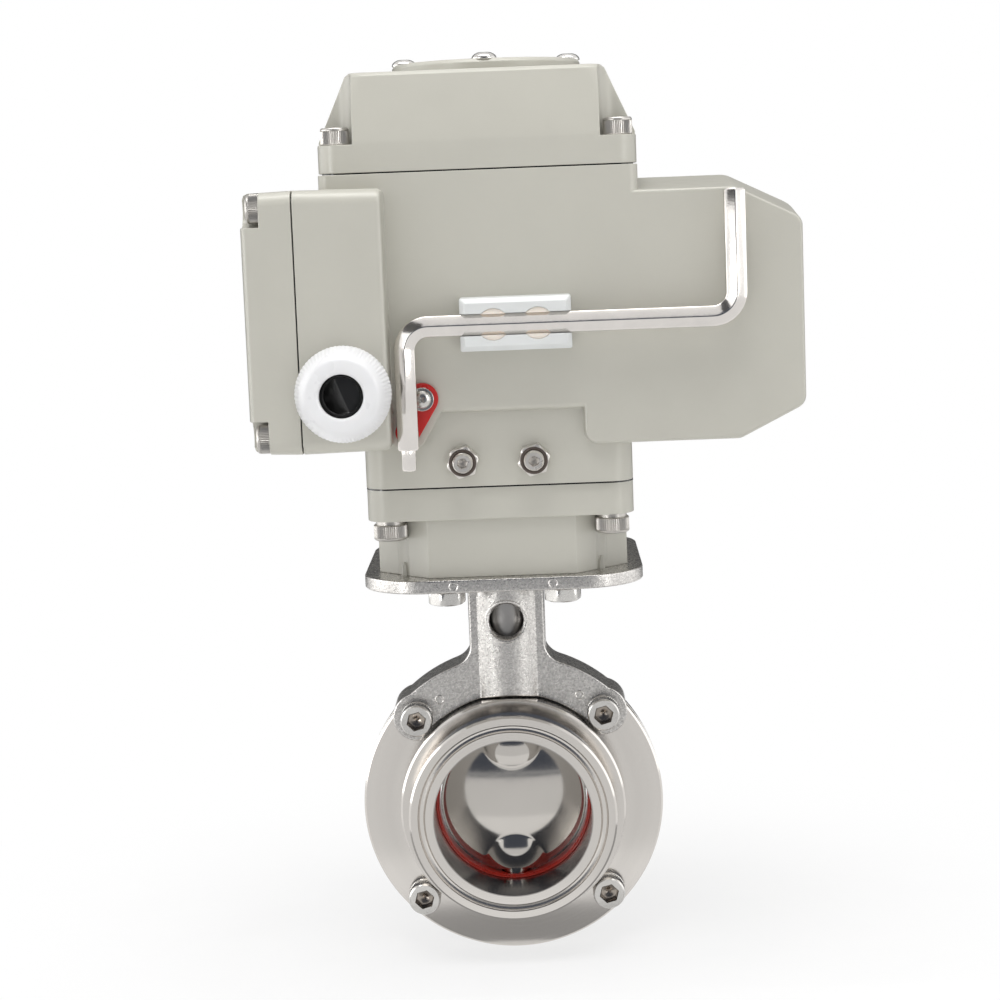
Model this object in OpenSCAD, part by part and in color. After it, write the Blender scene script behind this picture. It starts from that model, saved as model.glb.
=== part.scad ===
// Motorised sanitary butterfly valve: clamp-end valve, yoke and quarter-turn electric actuator.
// Origin at the valve centre. Pipe along Y, stem along Z, terminal box towards -X, motor towards +X.

/* [Valve body] */
// Bore of the pipe and of both body halves
bore_d = 48.6; // [47:0.2:50]
// Outer diameter of the clamp ferrules
ferrule_d = 64; // [63:0.5:66]
// Thickness of the ferrule rim
ferrule_t = 2.85; // [2.5:0.05:3.5]
// Distance between the two ferrule faces
face_to_face = 50; // [48:0.5:56]
// Outer diameter of the body flanges
flange_d = 94; // [92:0.5:98]
// Thickness of one body flange
flange_t = 4.5; // [4:0.1:5]
// Diameter of the raised hub on each half
hub_d = 70; // [69:0.5:71]
// Height of the hub above its flange
hub_h = 9.8; // [9:0.1:10.5]
// Outer diameter of the neck behind the ferrule
neck_d = 54; // [53:0.5:56]
// Thread diameter of the body, yoke and base screws
screw_d = 6; // [5:0.5:6]

/* [Disc and stem] */
// Diameter of the disc
disc_d = 46; // [44:0.5:46]
// Thickness of the disc at its rim
disc_rim_t = 3; // [2.5:0.1:4]
// Height of the dome on each side of the disc
disc_dome = 2.4; // [1.5:0.1:3.5]
// Stem diameter
stem_d = 11; // [10:0.5:11.5]
// Square tongue between stem and disc
tongue_w = 6.6; // [6:0.1:7]
// Diameter of the lower pivot stub
pivot_d = 9; // [8:0.5:10]
// Radial gap between the disc and the seat
disc_gap = 0.3; // [0.3:0.05:0.6]
// Half width of the seat ring along the pipe
seat_half_w = 5.5; // [5:0.1:6]
// Outer diameter of the seat ring
seat_od = 62; // [60:0.5:63]

/* [Yoke] */
// Width of the square mounting plate
plate_w = 84; // [80:1:90]
// Corner radius of the mounting plate
plate_r = 19; // [15:1:22]
// Thickness of the mounting plate
plate_t = 4; // [3.5:0.5:5]
// Height of the plate underside above the pipe axis
plate_z = 73.5; // [72:0.5:80]
// Radius of the round column of the neck
column_r = 12; // [11.5:0.5:13]
// Thickness of one ear of the fork
ear_t = 3.5; // [3:0.25:4]
// Radius of the round lobe at each ear bolt
lobe_r = 7.5; // [7:0.25:8]
// How far the crescent ears reach past the flanges
ear_over = 0.7; // [0.5:0.1:2]
// Radius of the fillet between neck and ears
neck_fillet = 7; // [5:0.5:9]
// Half width of the neck between plate and ears
neck_half = 11.5; // [11:0.25:12]
// Radius of the inspection window in the neck
window_r = 5.4; // [4.5:0.1:6]
// Height of the inspection window
window_z = 59; // [58:0.5:60]
// Bolt circle of the actuator fixing bolts
plate_bolt_pcd = 50; // [49:0.5:51]

/* [Actuator base] */
// Height of the pedestal that stands on the yoke
pedestal_h = 17.5; // [16:0.5:22]
// Half width of the pedestal
pedestal_half = 37.5; // [36.5:0.5:39]
// Width of the pedestal's corner chamfer
pedestal_chamfer = 15.5; // [14:0.5:17]
// Thickness of the base flange
base_t = 10; // [9:0.5:12]
// Half width of the base flange
base_half = 39.5; // [39:0.5:41]
// Corner radius of the base flange
base_r = 7; // [6:0.5:9]
// Half spacing of the base screws
base_screw_half = 33; // [32.5:0.25:33.5]

/* [Actuator housing] */
// Wall thickness of the castings
wall = 3.5; // [3:0.25:3.5]
// Half depth of the upper housing
panel_y = 44; // [43:0.5:46]
// Half depth of the lower block
block_y = 41; // [40:0.5:41.5]
// Left side of the upper housing
tower_x0 = -49; // [-50:0.5:-48]
// Right side of the upper housing
tower_x1 = 43.2; // [42.5:0.1:44]
// Lower edge of the proud front panel above the base flange
panel_rise = 22; // [21:0.5:23]
// Height of the housing above the base flange
housing_h = 92; // [91:0.5:96]
// Outer end of the motor bulge
bulge_x = 90.2; // [88:0.2:94]
// Draft of the bulge at its parting plane
bulge_draft = 3.4; // [2:0.2:4]

/* [Top cover] */
// Height of the cover's upright band
band_h = 9.5; // [9:0.5:11]
// Height of the whole cover
cover_h = 29; // [28:0.5:32]
// How far the cover's sides lean in at the top
cover_lean = 9; // [8:0.25:10]
// Thickness of the cover gasket
gasket_t = 0.4; // [0.3:0.1:0.8]
// Outer diameter of the sight window bezel
bezel_d = 57; // [55:0.5:58]
// Height of the bezel
bezel_h = 3.4; // [3:0.1:4]
// Width of the bezel's ring round the sight window
bezel_ring = 7.3; // [7:0.1:8]

/* [Terminal box] */
// Outer face of the terminal cover
box_x0 = -70.6; // [-74:0.2:-69]
// Seam between terminal cover and box
box_seam_x = -55.5; // [-56:0.1:-55]
// Inner side of the box's proud part
box_x1 = -30.2; // [-31:0.1:-30]
// Front of the terminal box
box_front = 57; // [56:0.5:59]
// Back of the terminal box
box_back = 25; // [24:0.5:28]
// Underside of the box above the base flange
box_rise = 12.5; // [12:0.25:13]
// Top of the terminal box below the cover's seam
box_drop = 4; // [3:0.5:5]
// Thread diameter of the cable gland
gland_d = 20; // [18:0.5:20]
// Height of the gland axis above the base flange
gland_rise = 30.4; // [29.5:0.1:32]
// Gland axis along X
gland_x = -42.8; // [-43.2:0.1:-42.8]

/* [Drive train] */
// Module of the worm wheel
wheel_m = 1.3; // [1.25:0.05:1.35]
// Teeth of the worm wheel
wheel_teeth = 30; // [28:1:31]
// Pitch radius of the worm
worm_r = 6.5; // [6:0.1:6.8]
// Height of the worm axis above the base flange
worm_rise = 17; // [16.5:0.1:17.5]
// Diameter of the worm shaft
worm_shaft_d = 8; // [7:0.5:8]
// Module of the spur gears
spur_m = 0.8; // [0.78:0.01:0.82]
// Teeth of the spur gear on the worm shaft
worm_gear_teeth = 20; // [18:1:20]
// Teeth of each idler gear
idler_teeth = 40; // [39:1:41]
// Teeth of the motor pinion
pinion_teeth = 16; // [15:1:18]
// Diameter of the output shaft in its base bush
journal_d = 24; // [22:0.5:25]
// Diameter of the output shaft at the wheel
shaft_d = 18; // [16:0.5:19]
// Diameter of the cam spindle
spindle_d = 10; // [8:0.5:11]
// Drive square of the coupling
drive_sq = 11; // [10:0.25:12]
// Running clearance of a shaft in its bush
run_gap = 0.05; // [0.03:0.01:0.08]
// Seat clearance of pieces that are fixed together
seat_gap = 0.05; // [0.03:0.01:0.1]

/* [Stops, crank and flap] */
// Half spacing of the two stop bolts
stop_x = 10.4; // [10.2:0.1:10.8]
// Height of the stop bolts above the base flange
stop_rise = 7.6; // [7.4:0.1:7.8]
// Hex of the crank across its flats
crank_af = 6; // [5.5:0.1:6.2]
// Hex of the crank's thin tip across its flats
tip_af = 4; // [3.5:0.1:4]
// Height of the crank's bar above the base flange
bar_rise = 48; // [47:0.5:49]
// Gap between the housing face and the crank's axis
crank_off = 7.5; // [7:0.25:9]
// Crank leg beside the terminal box
crank_x0 = -25.6; // [-25.6:0.1:-24]
// Crank leg on the motor side
crank_x1 = 70; // [66:0.5:72]
// Length of the crank's upper leg
crank_up = 36; // [32:0.5:37]
// Length of the crank's lower leg without its tip
crank_down = 35.5; // [33:0.5:36]
// Length of the thin tip
tip_l = 6; // [5:0.5:7]
// Inner bend radius of the crank
crank_bend = 7; // [6:0.5:9]
// Width of the tool clip
clip_w = 32; // [28:0.5:34]
// Height of the tool clip
clip_h = 15.2; // [14:0.2:17]
// Middle of the tool clip
clip_x = 6.6; // [5:0.2:8]

/* [Hidden] */
$fn = 48;
corner_steps = 6;
arc_steps = 20;
overcut = 1;
hex_corner = 2 / sqrt(3);
cap_head = 5 / 3;
air_gap = 0.3;
shank_gap = 0.2;
edge_break = 0.6;

// Valve levels
bore_r = bore_d / 2;
ferrule_r = ferrule_d / 2;
flange_r = flange_d / 2;
hub_r = hub_d / 2;
neck_r = neck_d / 2;
face_y = face_to_face / 2;
hub_y = flange_t + hub_h;
seat_r = seat_od / 2;
disc_r = disc_d / 2;
seat_bore_r = disc_r + disc_gap;
seat_bevel = 1.5;
stem_r = stem_d / 2;
pivot_r = pivot_d / 2;
groove_r = 1.15;
groove_c = (bore_r + ferrule_r) / 2;
rim_y = face_y - ferrule_t;
rim_slope = 0.8;
cone_rise = 1.5;
neck_step = 4;
disc_edge = 0.8;
dome_r = disc_r - disc_edge;
dome_steps = 10;
boss_wall_t = 1;
boss_r = stem_r + boss_wall_t;
boss_l = 4.5;
boss_end = sqrt(pow(disc_r, 2) - pow(boss_r, 2)) - disc_gap / 2;
tongue_depth = 7;
pivot_over = 2;
pivot_end = seat_r + pivot_over;
pivot_play = 0.4;
screw_r = screw_d / 2;
screw_hole_r = screw_r + shank_gap;
nut_af = 10;
nut_h = 5;
bolt_xz = (hub_r + flange_r) / 2 / sqrt(2);
spot_face_r = nut_af * hex_corner / 2 + seat_gap;
ear_gap = 0.15;
ear_r = flange_r + ear_over;
saddle_gap = 0.4;
ear_y0 = flange_t + ear_gap;
ear_y1 = ear_y0 + ear_t;
saddle_r = hub_r + saddle_gap;
saddle_bite = 4;
bush_wall = 1.5;
stem_hole_r = stem_r + bush_wall + seat_gap;
bush_bury = 9;
bush_z0 = flange_r - bush_bury;
bush_h = 14;
stem_gap = 0.5;
stem_shoulder = bush_z0 + bush_h - stem_gap;
tongue_up = 8;
coupling_z0 = bush_z0 + bush_h + stem_gap;
coupling_r = 7.4;
chamber_gap = 0.8;
chamber_r = coupling_r + chamber_gap;
window_flare = 2;

// Actuator levels
plate_top = plate_z + plate_t;
base_z = plate_top + pedestal_h;
base_top = base_z + base_t;
panel_z = base_top + panel_rise;
seam_z = base_top + housing_h;
ledge_z = seam_z + band_h;
cover_seat_sink = 1;
cover_seat_z = ledge_z - cover_seat_sink;
cover_top = seam_z + cover_h;
plate_bolt_xy = plate_bolt_pcd / 2 / sqrt(2);
washer_t = 1.5;
spring_washer = 1.7;
spring_washer_t = 1.6;
bezel_r = bezel_d / 2;
glass_lap = 1.2;
window_glass_r = bezel_r - bezel_ring;
sight_r = window_glass_r - glass_lap;
cover_screw_d = 5;
cover_screw_in = 5.2;
cover_screw_x = [tower_x0 + cover_screw_in, tower_x1 - cover_screw_in];
cover_screw_y = panel_y - cover_screw_in;
box_z0 = base_top + box_rise;
box_z1 = seam_z - box_drop;
box_screw_in = 4.8;
box_screw_y = [-box_front + box_screw_in, box_back - box_screw_in];
box_screw_z = [box_z0 + box_screw_in, box_z1 - box_screw_in];
box_ledge = 5.4;
box_ledge_x = box_x0 + box_ledge;
gland_z = base_top + gland_rise;
gland_r = gland_d / 2;
gland_hex_t = 4;
gland_nut_l = 11;
gland_wall = 3.8;
gland_nut_r = gland_r + gland_wall;
gland_lip = 0.2;
gland_lip_r = gland_r + gland_lip;
gland_hole_r = gland_r - gland_wall;
gland_bay_wall = 3;
gland_bay_r = gland_r + gland_bay_wall;
gland_bay_in = 2.2;
gland_bay_x = box_x1 - gland_bay_in;
partition_t = wall;
block_half = base_half;
bulge_r = 4;
bulge_drop = 7.4;
bulge_z1 = seam_z - bulge_drop;
bulge_rise = 11.6;
bulge_z0 = base_top + bulge_rise;
bulge_end_l = 20.2;
bulge_shoulder_x = bulge_x - bulge_end_l;
bulge_corner_x = bulge_x - bulge_r;
bulge_left_x = 29.5;
soft_edge = 1;
soft_profile = [[0, 1], [0.3, 0.3], [1, 0]];
soft_edges = soft_profile * soft_edge;
bulge_end_h = 12;
bulge_corners = [
    [bulge_left_x, bulge_z0 + bulge_r],
    [bulge_shoulder_x, bulge_z0 + bulge_r],
    [bulge_corner_x, bulge_z0 + bulge_end_h],
    [bulge_corner_x, bulge_z1 - bulge_end_h],
    [bulge_shoulder_x, bulge_z1 - bulge_r],
    [bulge_left_x, bulge_z1 - bulge_r]
];

// Drive train levels
wheel_r = wheel_m * wheel_teeth / 2;
worm_x = -(wheel_r + worm_r);
worm_z = base_top + worm_rise;
cavity_clear = 2.2;
cavity_x0 = worm_x - worm_r - wheel_m - cavity_clear;
worm_lead = PI * wheel_m;
worm_turns = 4;
worm_amp = wheel_m;
wheel_t = 8;
wheel_backlash = 0.8;
circlip_w = 2.5;
circlip_t = 1.5;
wheel_twist = wheel_t / wheel_r * worm_lead / (2 * PI * worm_r) * 180 / PI;
wheel_hub_wall = 4;
wheel_hub_r = shaft_d / 2 + wheel_hub_wall;
worm_shaft_r = worm_shaft_d / 2;
front_bush_in = 4;
worm_front_y = -block_y + front_bush_in;
train_y0 = 25;
train_t = 3;
gear_spacer = 2;
gear_y0 = train_y0 + train_t + gear_spacer;
gear_t = 5;
spur_backlash = 0.5;
light_hole_r = 2.6;
pin_head_t = 2;
gear_end_gap = 1;
worm_back_y = gear_y0 + gear_t + gear_end_gap;
worm_bush_wall = 2;
bush_r = worm_shaft_r + worm_bush_wall;
idler_angle_1 = 30;
idler_angle_2 = 5;
pinion_angle = 15;
worm_gear_r = spur_m * worm_gear_teeth / 2;
idler_r = spur_m * idler_teeth / 2;
pinion_r = spur_m * pinion_teeth / 2;
idler_1 = [worm_x, worm_z] + (worm_gear_r + idler_r) * [cos(idler_angle_1), sin(idler_angle_1)];
idler_2 = idler_1 + 2 * idler_r * [cos(idler_angle_2), sin(idler_angle_2)];
pinion_c = idler_2 + (idler_r + pinion_r) * [cos(pinion_angle), sin(pinion_angle)];
journal_r = journal_d / 2;
shaft_r = shaft_d / 2;
spindle_r = spindle_d / 2;
base_bush_wall = 3;
collar_z = base_top + air_gap;
collar_t = 2.4;
cam_z0 = collar_z + collar_t;
stop_z = base_top + stop_rise;
stop_cam_t = 2 * (stop_z - cam_z0);
shelf_rise = 34;
shelf_z = base_top + shelf_rise;
shelf_t = 4;
room_gap = 1;
sheet_r = 3;
shaft_over = 3;
shaft_top = shelf_z + shelf_t + shaft_over;
limit_cam_t = 6;
limit_cam_lift = 4;
limit_cam_step = 10;
limit_cam_z = [shaft_top + limit_cam_lift, shaft_top + limit_cam_lift + limit_cam_step];
limit_cam_r = 11;
lobe_lift = 2;
lobe_w = 8;
indicator_in = 3;
indicator_r = sight_r - indicator_in;
indicator_t = 3;
indicator_z = cover_top - indicator_t;
dial_t = 1;
pointer_w = 4;
pointer_in = 1.5;
pointer_drop = 0.4;
dial_hub_l = 6;
dial_hub_wall = 2;
dial_bore_top = -0.5;
drive_depth = 20;
motor_r = 20;
motor_in = 29.2;
motor_up = 36.4;
motor_c = [bulge_x - motor_in, bulge_z0 + motor_up];
gearbox_left = 7.5;
gearbox_x0 = pinion_c[0] - gearbox_left;
gearbox_right = 19;
gearbox_x1 = motor_c[0] + gearbox_right;
gearbox_low = 14;
gearbox_z0 = pinion_c[1] - gearbox_low;
gearbox_high = 22;
gearbox_z1 = motor_c[1] + gearbox_high;
gearbox_t = 20;
motor_l = 36;
motor_nose_r = 6;
motor_nose_l = 3;

// Fasteners and fittings
yoke_thread = 9;
base_thread = 6.5;
head_relief_r = screw_d * cap_head / 2 + air_gap;
base_boss_h = 8;
train_z0 = base_top + base_boss_h + room_gap;
train_over = 22;
train_z1 = shelf_z + train_over;
cover_thread = 12;
box_thread = 10;
bush_lip = 3;
boss_floor = 3;
boss_wall = 2.5;
room_r = 4;
box_corner_r = 4;
box_soft = 1.8;
box_draft = 0.4;
gasket_in = 1;
pocket_wall = 1.8;
wire_in = 18;
wire_hole_r = 5;
head_room = 1.1;
cover_pocket_r = cover_screw_d * cap_head / 2 + head_room;
cover_boss_wall = 2.4;
cover_boss_r = cover_screw_d / 2 + cover_boss_wall;
box_boss_wall = 2;
box_boss_r = cover_screw_d / 2 + box_boss_wall;
bezel_screw_r = (window_glass_r + bezel_r) / 2;
window_dome = 2;
bezel_thread_r = 1.5;
block_deep = 9;
block_l = 40;
block_w = 14;
block_drop = 40;
block_end_y = -8;
block_ways = 6;
block_screw_r = 1.6;
post_r = 4;
fixing_in = 6.5;
post_screw_r = 1.5;
post_thread = 7;
lug_sink = 0.5;
shelf_lug_x = cavity_x0 + post_r - lug_sink;
worm_clear = 1.4;
shelf_lug_z = worm_z + worm_r + worm_amp + worm_clear;
shelf_post_x = block_half - wall - post_r / 2;
shelf_post_y = [-30, 18];
post_places = [[-15, 18], [-6, 21], [15, -17]];
train_posts = [idler_1 + post_places[0], idler_2 + post_places[1], idler_1 + post_places[2]];
motor_fixings = [
    [gearbox_x0 + fixing_in, gearbox_z1 - fixing_in],
    [gearbox_x1 - fixing_in, gearbox_z1 - fixing_in],
    [gearbox_x1 - fixing_in, gearbox_z0 + fixing_in]
];
front_bush_l = 7;
front_bush_y1 = worm_front_y + front_bush_l + overcut;
worm_collar_t = 4;
wheel_hub_over = 4;
wheel_top = worm_z + wheel_t / 2 + wheel_hub_over;
wheel_phase = 180 + 180 / wheel_teeth;
idler_pin_r = 3;
motor_shaft_r = 2.5;
idler_turn_1 = mesh_turn(idler_angle_1, 0, worm_gear_teeth, idler_teeth);
idler_turn_2 = mesh_turn(idler_angle_2, idler_turn_1, idler_teeth, idler_teeth);
pinion_turn = mesh_turn(pinion_angle, idler_turn_2, idler_teeth, pinion_teeth);
switch_gap = 4;
switch_x = limit_cam_r + lobe_lift + switch_gap;
switch_l = 20;
switch_w = 10;
blade_gap = 0.6;
blade_x = limit_cam_r + lobe_lift + blade_gap;
blade_t = 0.6;
blade_in = 1;
bracket_t = 1.6;
capacitor_c = [-20, -22];
capacitor_r = 10;
capacitor_h = 38;
clip_gap = 0.15;
clip_bevel = 1.4;
clip_relief_x = clip_w / 5;
relief_wall = 1.6;
clip_relief_r = crank_af / 2 + relief_wall;
flap_screw_r = 1.8;
flap_head_r = 2.6;
flap_head_h = 1.6;
flap_washer_r = 3.4;
flap_washer_t = 0.6;

// Front features
stop_tip_y = -12;
stop_gap = 0.3;
stop_socket = 3;
stop_nut_turn = 12;
stop_nut_af = 9;
stop_proud = 7;
stop_reach = block_y + stop_proud;
stop_cam_r = 13.6;
stop_sector_r = 19;
crank_y = -panel_y - crank_off;
bar_z = base_top + bar_rise;
clip_depth = crank_off + crank_af / 2;
flap_t = 1.2;
flap_pivot_x = -21.4;
flap_pivot_rise = 26.6;
flap_c = [flap_pivot_x, base_top + flap_pivot_rise];
flap_r = 4.7;
flap_tail_r = 3.6;
flap_end = [worm_x, worm_z];
key_hole_r = 3;
pad_rim = 2;
pad_depth = 8;

// Shape helpers

// Turns a body drawn along Z so that it runs along -Y
module along_y() rotate([90, 0, 0]) children();

// Turns a body drawn along Z so that it runs along X, with its own X along Y
module along_x() rotate([90, 0, 90]) children();

// Round bar along Y between two Y positions
module y_bar(r, y0, y1) translate([0, y1, 0]) rotate([90, 0, 0]) cylinder(r = r, h = y1 - y0);

// Upright square bar on the stem axis between two heights
module square_bar(w, z0, z1) translate([-w / 2, -w / 2, z0]) cube([w, w, z1 - z0]);

// Body of revolution about the pipe axis, drawn as [radius, y]
module pipe_revolve() rotate([-90, 0, 0]) rotate_extrude() children();

// Rectangle with round corners
module rounded_rect(x0, x1, y0, y1, r) {
    translate([x0 + r, y0]) square([x1 - x0 - 2 * r, y1 - y0]);
    translate([x0, y0 + r]) square([x1 - x0, y1 - y0 - 2 * r]);
    for (x = [x0 + r, x1 - r], y = [y0 + r, y1 - r]) translate([x, y]) circle(r = r);
}

// Ring of points round a convex outline of corner circles, counter-clockwise
function corner_ring(corners, r, z) = [
    for (i = [0 : len(corners) - 1])
        let (
            here = corners[i],
            arrive = here - corners[(i + len(corners) - 1) % len(corners)],
            leave = corners[(i + 1) % len(corners)] - here,
            start = atan2(arrive[1], arrive[0]) - 90,
            turn = (atan2(leave[1], leave[0]) - 90 - start + 720) % 360
        )
        for (k = [0 : corner_steps])
            let (a = start + turn * k / corner_steps)
            [here[0] + r * cos(a), here[1] + r * sin(a), z]
];

// Solid through a stack of rings that have the same number of points
module loft(rings) {
    n = len(rings[0]);
    last = len(rings) - 1;
    polyhedron(
        points = [for (ring = rings, point = ring) point],
        faces = concat(
            [[for (k = [0 : n - 1]) k]],
            [[for (k = [n - 1 : -1 : 0]) last * n + k]],
            [for (low = [0 : n : (last - 1) * n], k = [0 : n - 1])
                [low + k, low + n + k, low + n + (k + 1) % n]],
            [for (low = [0 : n : (last - 1) * n], k = [0 : n - 1])
                [low + k, low + n + (k + 1) % n, low + (k + 1) % n]]
        )
    );
}

// Drafted box: each slice is [z, x0, x1, y0, y1, corner radius]
module box_stack(slices) loft([for (s = slices) corner_ring(
    [for (c = [[s[2], s[3]], [s[2], s[4]], [s[1], s[4]], [s[1], s[3]]])
        [c[0] + (c[0] == s[1] ? s[5] : -s[5]), c[1] + (c[1] == s[3] ? s[5] : -s[5])]],
    s[5], s[0]
)]);

// Socket head cap screw: seat at z = 0, head above, shank below
module cap_screw(d, length) {
    difference() {
        cylinder(d = d * cap_head, h = d);
        translate([0, 0, d * 0.45]) cylinder(d = d * 0.83 * hex_corner, h = d, $fn = 6);
    }
    translate([0, 0, -length]) cylinder(d = d, h = length);
}

// Hexagon bolt with flat and spring washer: seat at z = 0, head above, shank below
module hex_bolt(d, af, length) {
    cylinder(d = d * 2, h = washer_t);
    translate([0, 0, washer_t]) cylinder(d = d * spring_washer, h = spring_washer_t);
    translate([0, 0, washer_t + spring_washer_t]) cylinder(d = af * hex_corner, h = d * 0.7, $fn = 6);
    translate([0, 0, -length]) cylinder(d = d, h = length);
}

// Hexagon nut standing on z = 0
module hex_nut(af, h, hole_r)
    difference() {
        cylinder(d = af * hex_corner, h = h, $fn = 6);
        translate([0, 0, -overcut]) cylinder(r = hole_r, h = h + 2 * overcut);
    }

// Turn of gear b that puts a gap against a tooth of gear a, in the direction alpha from a to b
function mesh_turn(alpha, turn_a, teeth_a, teeth_b) =
    alpha + 180 - 360 / teeth_b * (0.5 - (alpha - turn_a) * teeth_a / 360);

// Outline of a spur gear with straight-flanked teeth and backlash
module gear_outline(m, teeth, backlash, add, ded) {
    r = m * teeth / 2;
    step = 360 / teeth;
    half = (PI * m / 2 - backlash) / 2;
    slope = tan(24);
    tip = r + add * m;
    root = r - ded * m;
    tip_a = (half - slope * add * m) / tip * 180 / PI;
    root_a = (half + slope * ded * m) / root * 180 / PI;
    tooth = [[root, -root_a], [tip, -tip_a], [tip, tip_a], [root, root_a]];
    polygon([for (i = [0 : teeth - 1], k = tooth)
        k[0] * [cos(i * step + k[1]), sin(i * step + k[1])]]);
}

// Valve

// One body half on the +Y side of the split plane
module body_half() difference() {
    pipe_revolve() polygon(concat(
        [[bore_r, seat_half_w], [seat_r, seat_half_w], [seat_r, 0], [flange_r - edge_break, 0],
         [flange_r, edge_break], [flange_r, flange_t - edge_break], [flange_r - edge_break, flange_t],
         [hub_r, flange_t], [hub_r, hub_y - edge_break], [hub_r - edge_break, hub_y],
         [neck_r + neck_step, hub_y], [neck_r + neck_step / 4, hub_y + neck_step / 4],
         [neck_r, hub_y + neck_step], [neck_r, rim_y - cone_rise],
         [ferrule_r - rim_slope, rim_y], [ferrule_r, rim_y + rim_slope],
         [ferrule_r, face_y - edge_break], [ferrule_r - edge_break, face_y]],
        [for (a = [0 : -30 : -180]) [groove_c + groove_r * cos(a), face_y + groove_r * sin(a)]],
        [[bore_r, face_y]]
    ));
    rotate(-90) translate([0, 0, bore_r - stem_hole_r]) cylinder(r = stem_hole_r, h = flange_r);
    rotate(-90) translate([0, 0, -pivot_end - pivot_play]) cylinder(r = pivot_r + run_gap, h = pivot_end);
    for (x = [-1, 1], z = [-1, 1]) translate([x * bolt_xz, 0, z * bolt_xz]) {
        y_bar(screw_hole_r, -overcut, flange_t + overcut);
        y_bar(spot_face_r, flange_t, face_y);
    }
}

module valve_body_front() color("lightgray") mirror([0, 1, 0]) body_half();

module valve_body_rear() color("lightgray") body_half();

// Silicone seat ring held between the body halves
module valve_seat() color("firebrick") difference() {
    pipe_revolve() polygon([
        [seat_bore_r, -seat_half_w + seat_bevel], [bore_r + air_gap, -seat_half_w + seat_gap],
        [seat_r - seat_gap, -seat_half_w + seat_gap], [seat_r - seat_gap, seat_half_w - seat_gap],
        [bore_r + air_gap, seat_half_w - seat_gap], [seat_bore_r, seat_half_w - seat_bevel]
    ]);
    cylinder(r = stem_r + air_gap, h = flange_r);
    translate([0, 0, -flange_r]) cylinder(r = pivot_r + air_gap, h = flange_r);
}

// Half thickness of the disc at a radius of its dome
function dome_y(r) = disc_rim_t / 2 + disc_dome * (1 - pow(r / dome_r, 2));

// Lens-shaped disc with round-ended stem bosses and the lower pivot stub
module valve_disc() color("silver") difference() {
    union() {
        pipe_revolve() polygon(concat(
            [for (i = [0 : dome_steps]) let (r = dome_r * i / dome_steps) [r, -dome_y(r)]],
            [[disc_r, -disc_rim_t / 2 + edge_break], [disc_r, disc_rim_t / 2 - edge_break]],
            [for (i = [dome_steps : -1 : 0]) let (r = dome_r * i / dome_steps) [r, dome_y(r)]]
        ));
        for (s = [-1, 1]) translate([0, 0, s * (boss_end - boss_l)]) sphere(r = boss_r);
        translate([0, 0, -boss_end]) cylinder(r = boss_r, h = boss_l);
        translate([0, 0, boss_end - boss_l]) cylinder(r = boss_r, h = boss_l);
        translate([0, 0, -pivot_end]) cylinder(r = pivot_r, h = pivot_end - boss_end + overcut);
    }
    square_bar(tongue_w + 2 * seat_gap, boss_end - tongue_depth - seat_gap, boss_end + tongue_depth);
    translate([0, 0, boss_end]) cylinder(r = boss_r + 2 * boss_wall_t, h = boss_l);
}

// Stem: tongue in the disc, round through the neck, square into the coupling
module valve_stem() color("gainsboro") {
    square_bar(tongue_w, boss_end - tongue_depth, boss_end + overcut);
    translate([0, 0, boss_end + seat_gap]) cylinder(r = stem_r, h = stem_shoulder - boss_end - seat_gap);
    square_bar(tongue_w, stem_shoulder - overcut, stem_shoulder + tongue_up);
}

// Plain bush that guides the stem in the body and the neck
module stem_bush() color("ivory") translate([0, 0, bush_z0]) difference() {
    cylinder(r = stem_r + bush_wall, h = bush_h);
    translate([0, 0, -overcut]) cylinder(r = stem_r + run_gap, h = bush_h + 2 * overcut);
}

module body_bolts() color("silver") for (x = [-1, 1], z = [-1, 1]) {
    seat_y = z > 0 ? ear_y1 : flange_t;
    translate([x * bolt_xz, -seat_y, z * bolt_xz]) along_y() cap_screw(screw_d, 2 * seat_y + nut_h);
}

module body_nuts() color("silver") for (x = [-1, 1], z = [-1, 1]) {
    seat_y = z > 0 ? ear_y1 : flange_t;
    translate([x * bolt_xz, seat_y + nut_h, z * bolt_xz]) along_y()
        hex_nut(nut_af, nut_h, screw_r + seat_gap);
}

// Yoke

// Concave corner between neck and ear on one side: a circle that touches both, cut from a wedge
module neck_corner(side) {
    cx = neck_half + neck_fillet;
    cz = sqrt(pow(ear_r + neck_fillet, 2) - pow(cx, 2));
    touch = ear_r / (ear_r + neck_fillet);
    difference() {
        polygon([[0, saddle_r], [side * cx * touch, cz * touch], [side * cx, cz], [0, cz]]);
        translate([side * cx, cz]) circle(r = neck_fillet);
    }
}

// Front view of the fork: neck, crescent ears and bolt lobes
module fork_outline() difference() {
    union() {
        translate([-neck_half, saddle_r - saddle_bite])
            square([2 * neck_half, plate_z + overcut - saddle_r + saddle_bite]);
        intersection() {
            circle(r = ear_r);
            polygon([[0, 0], [-flange_d, flange_d], [flange_d, flange_d]]);
        }
        for (s = [-1, 1]) {
            translate([s * bolt_xz, bolt_xz]) circle(r = lobe_r);
            neck_corner(s);
        }
    }
    circle(r = saddle_r);
}

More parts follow.
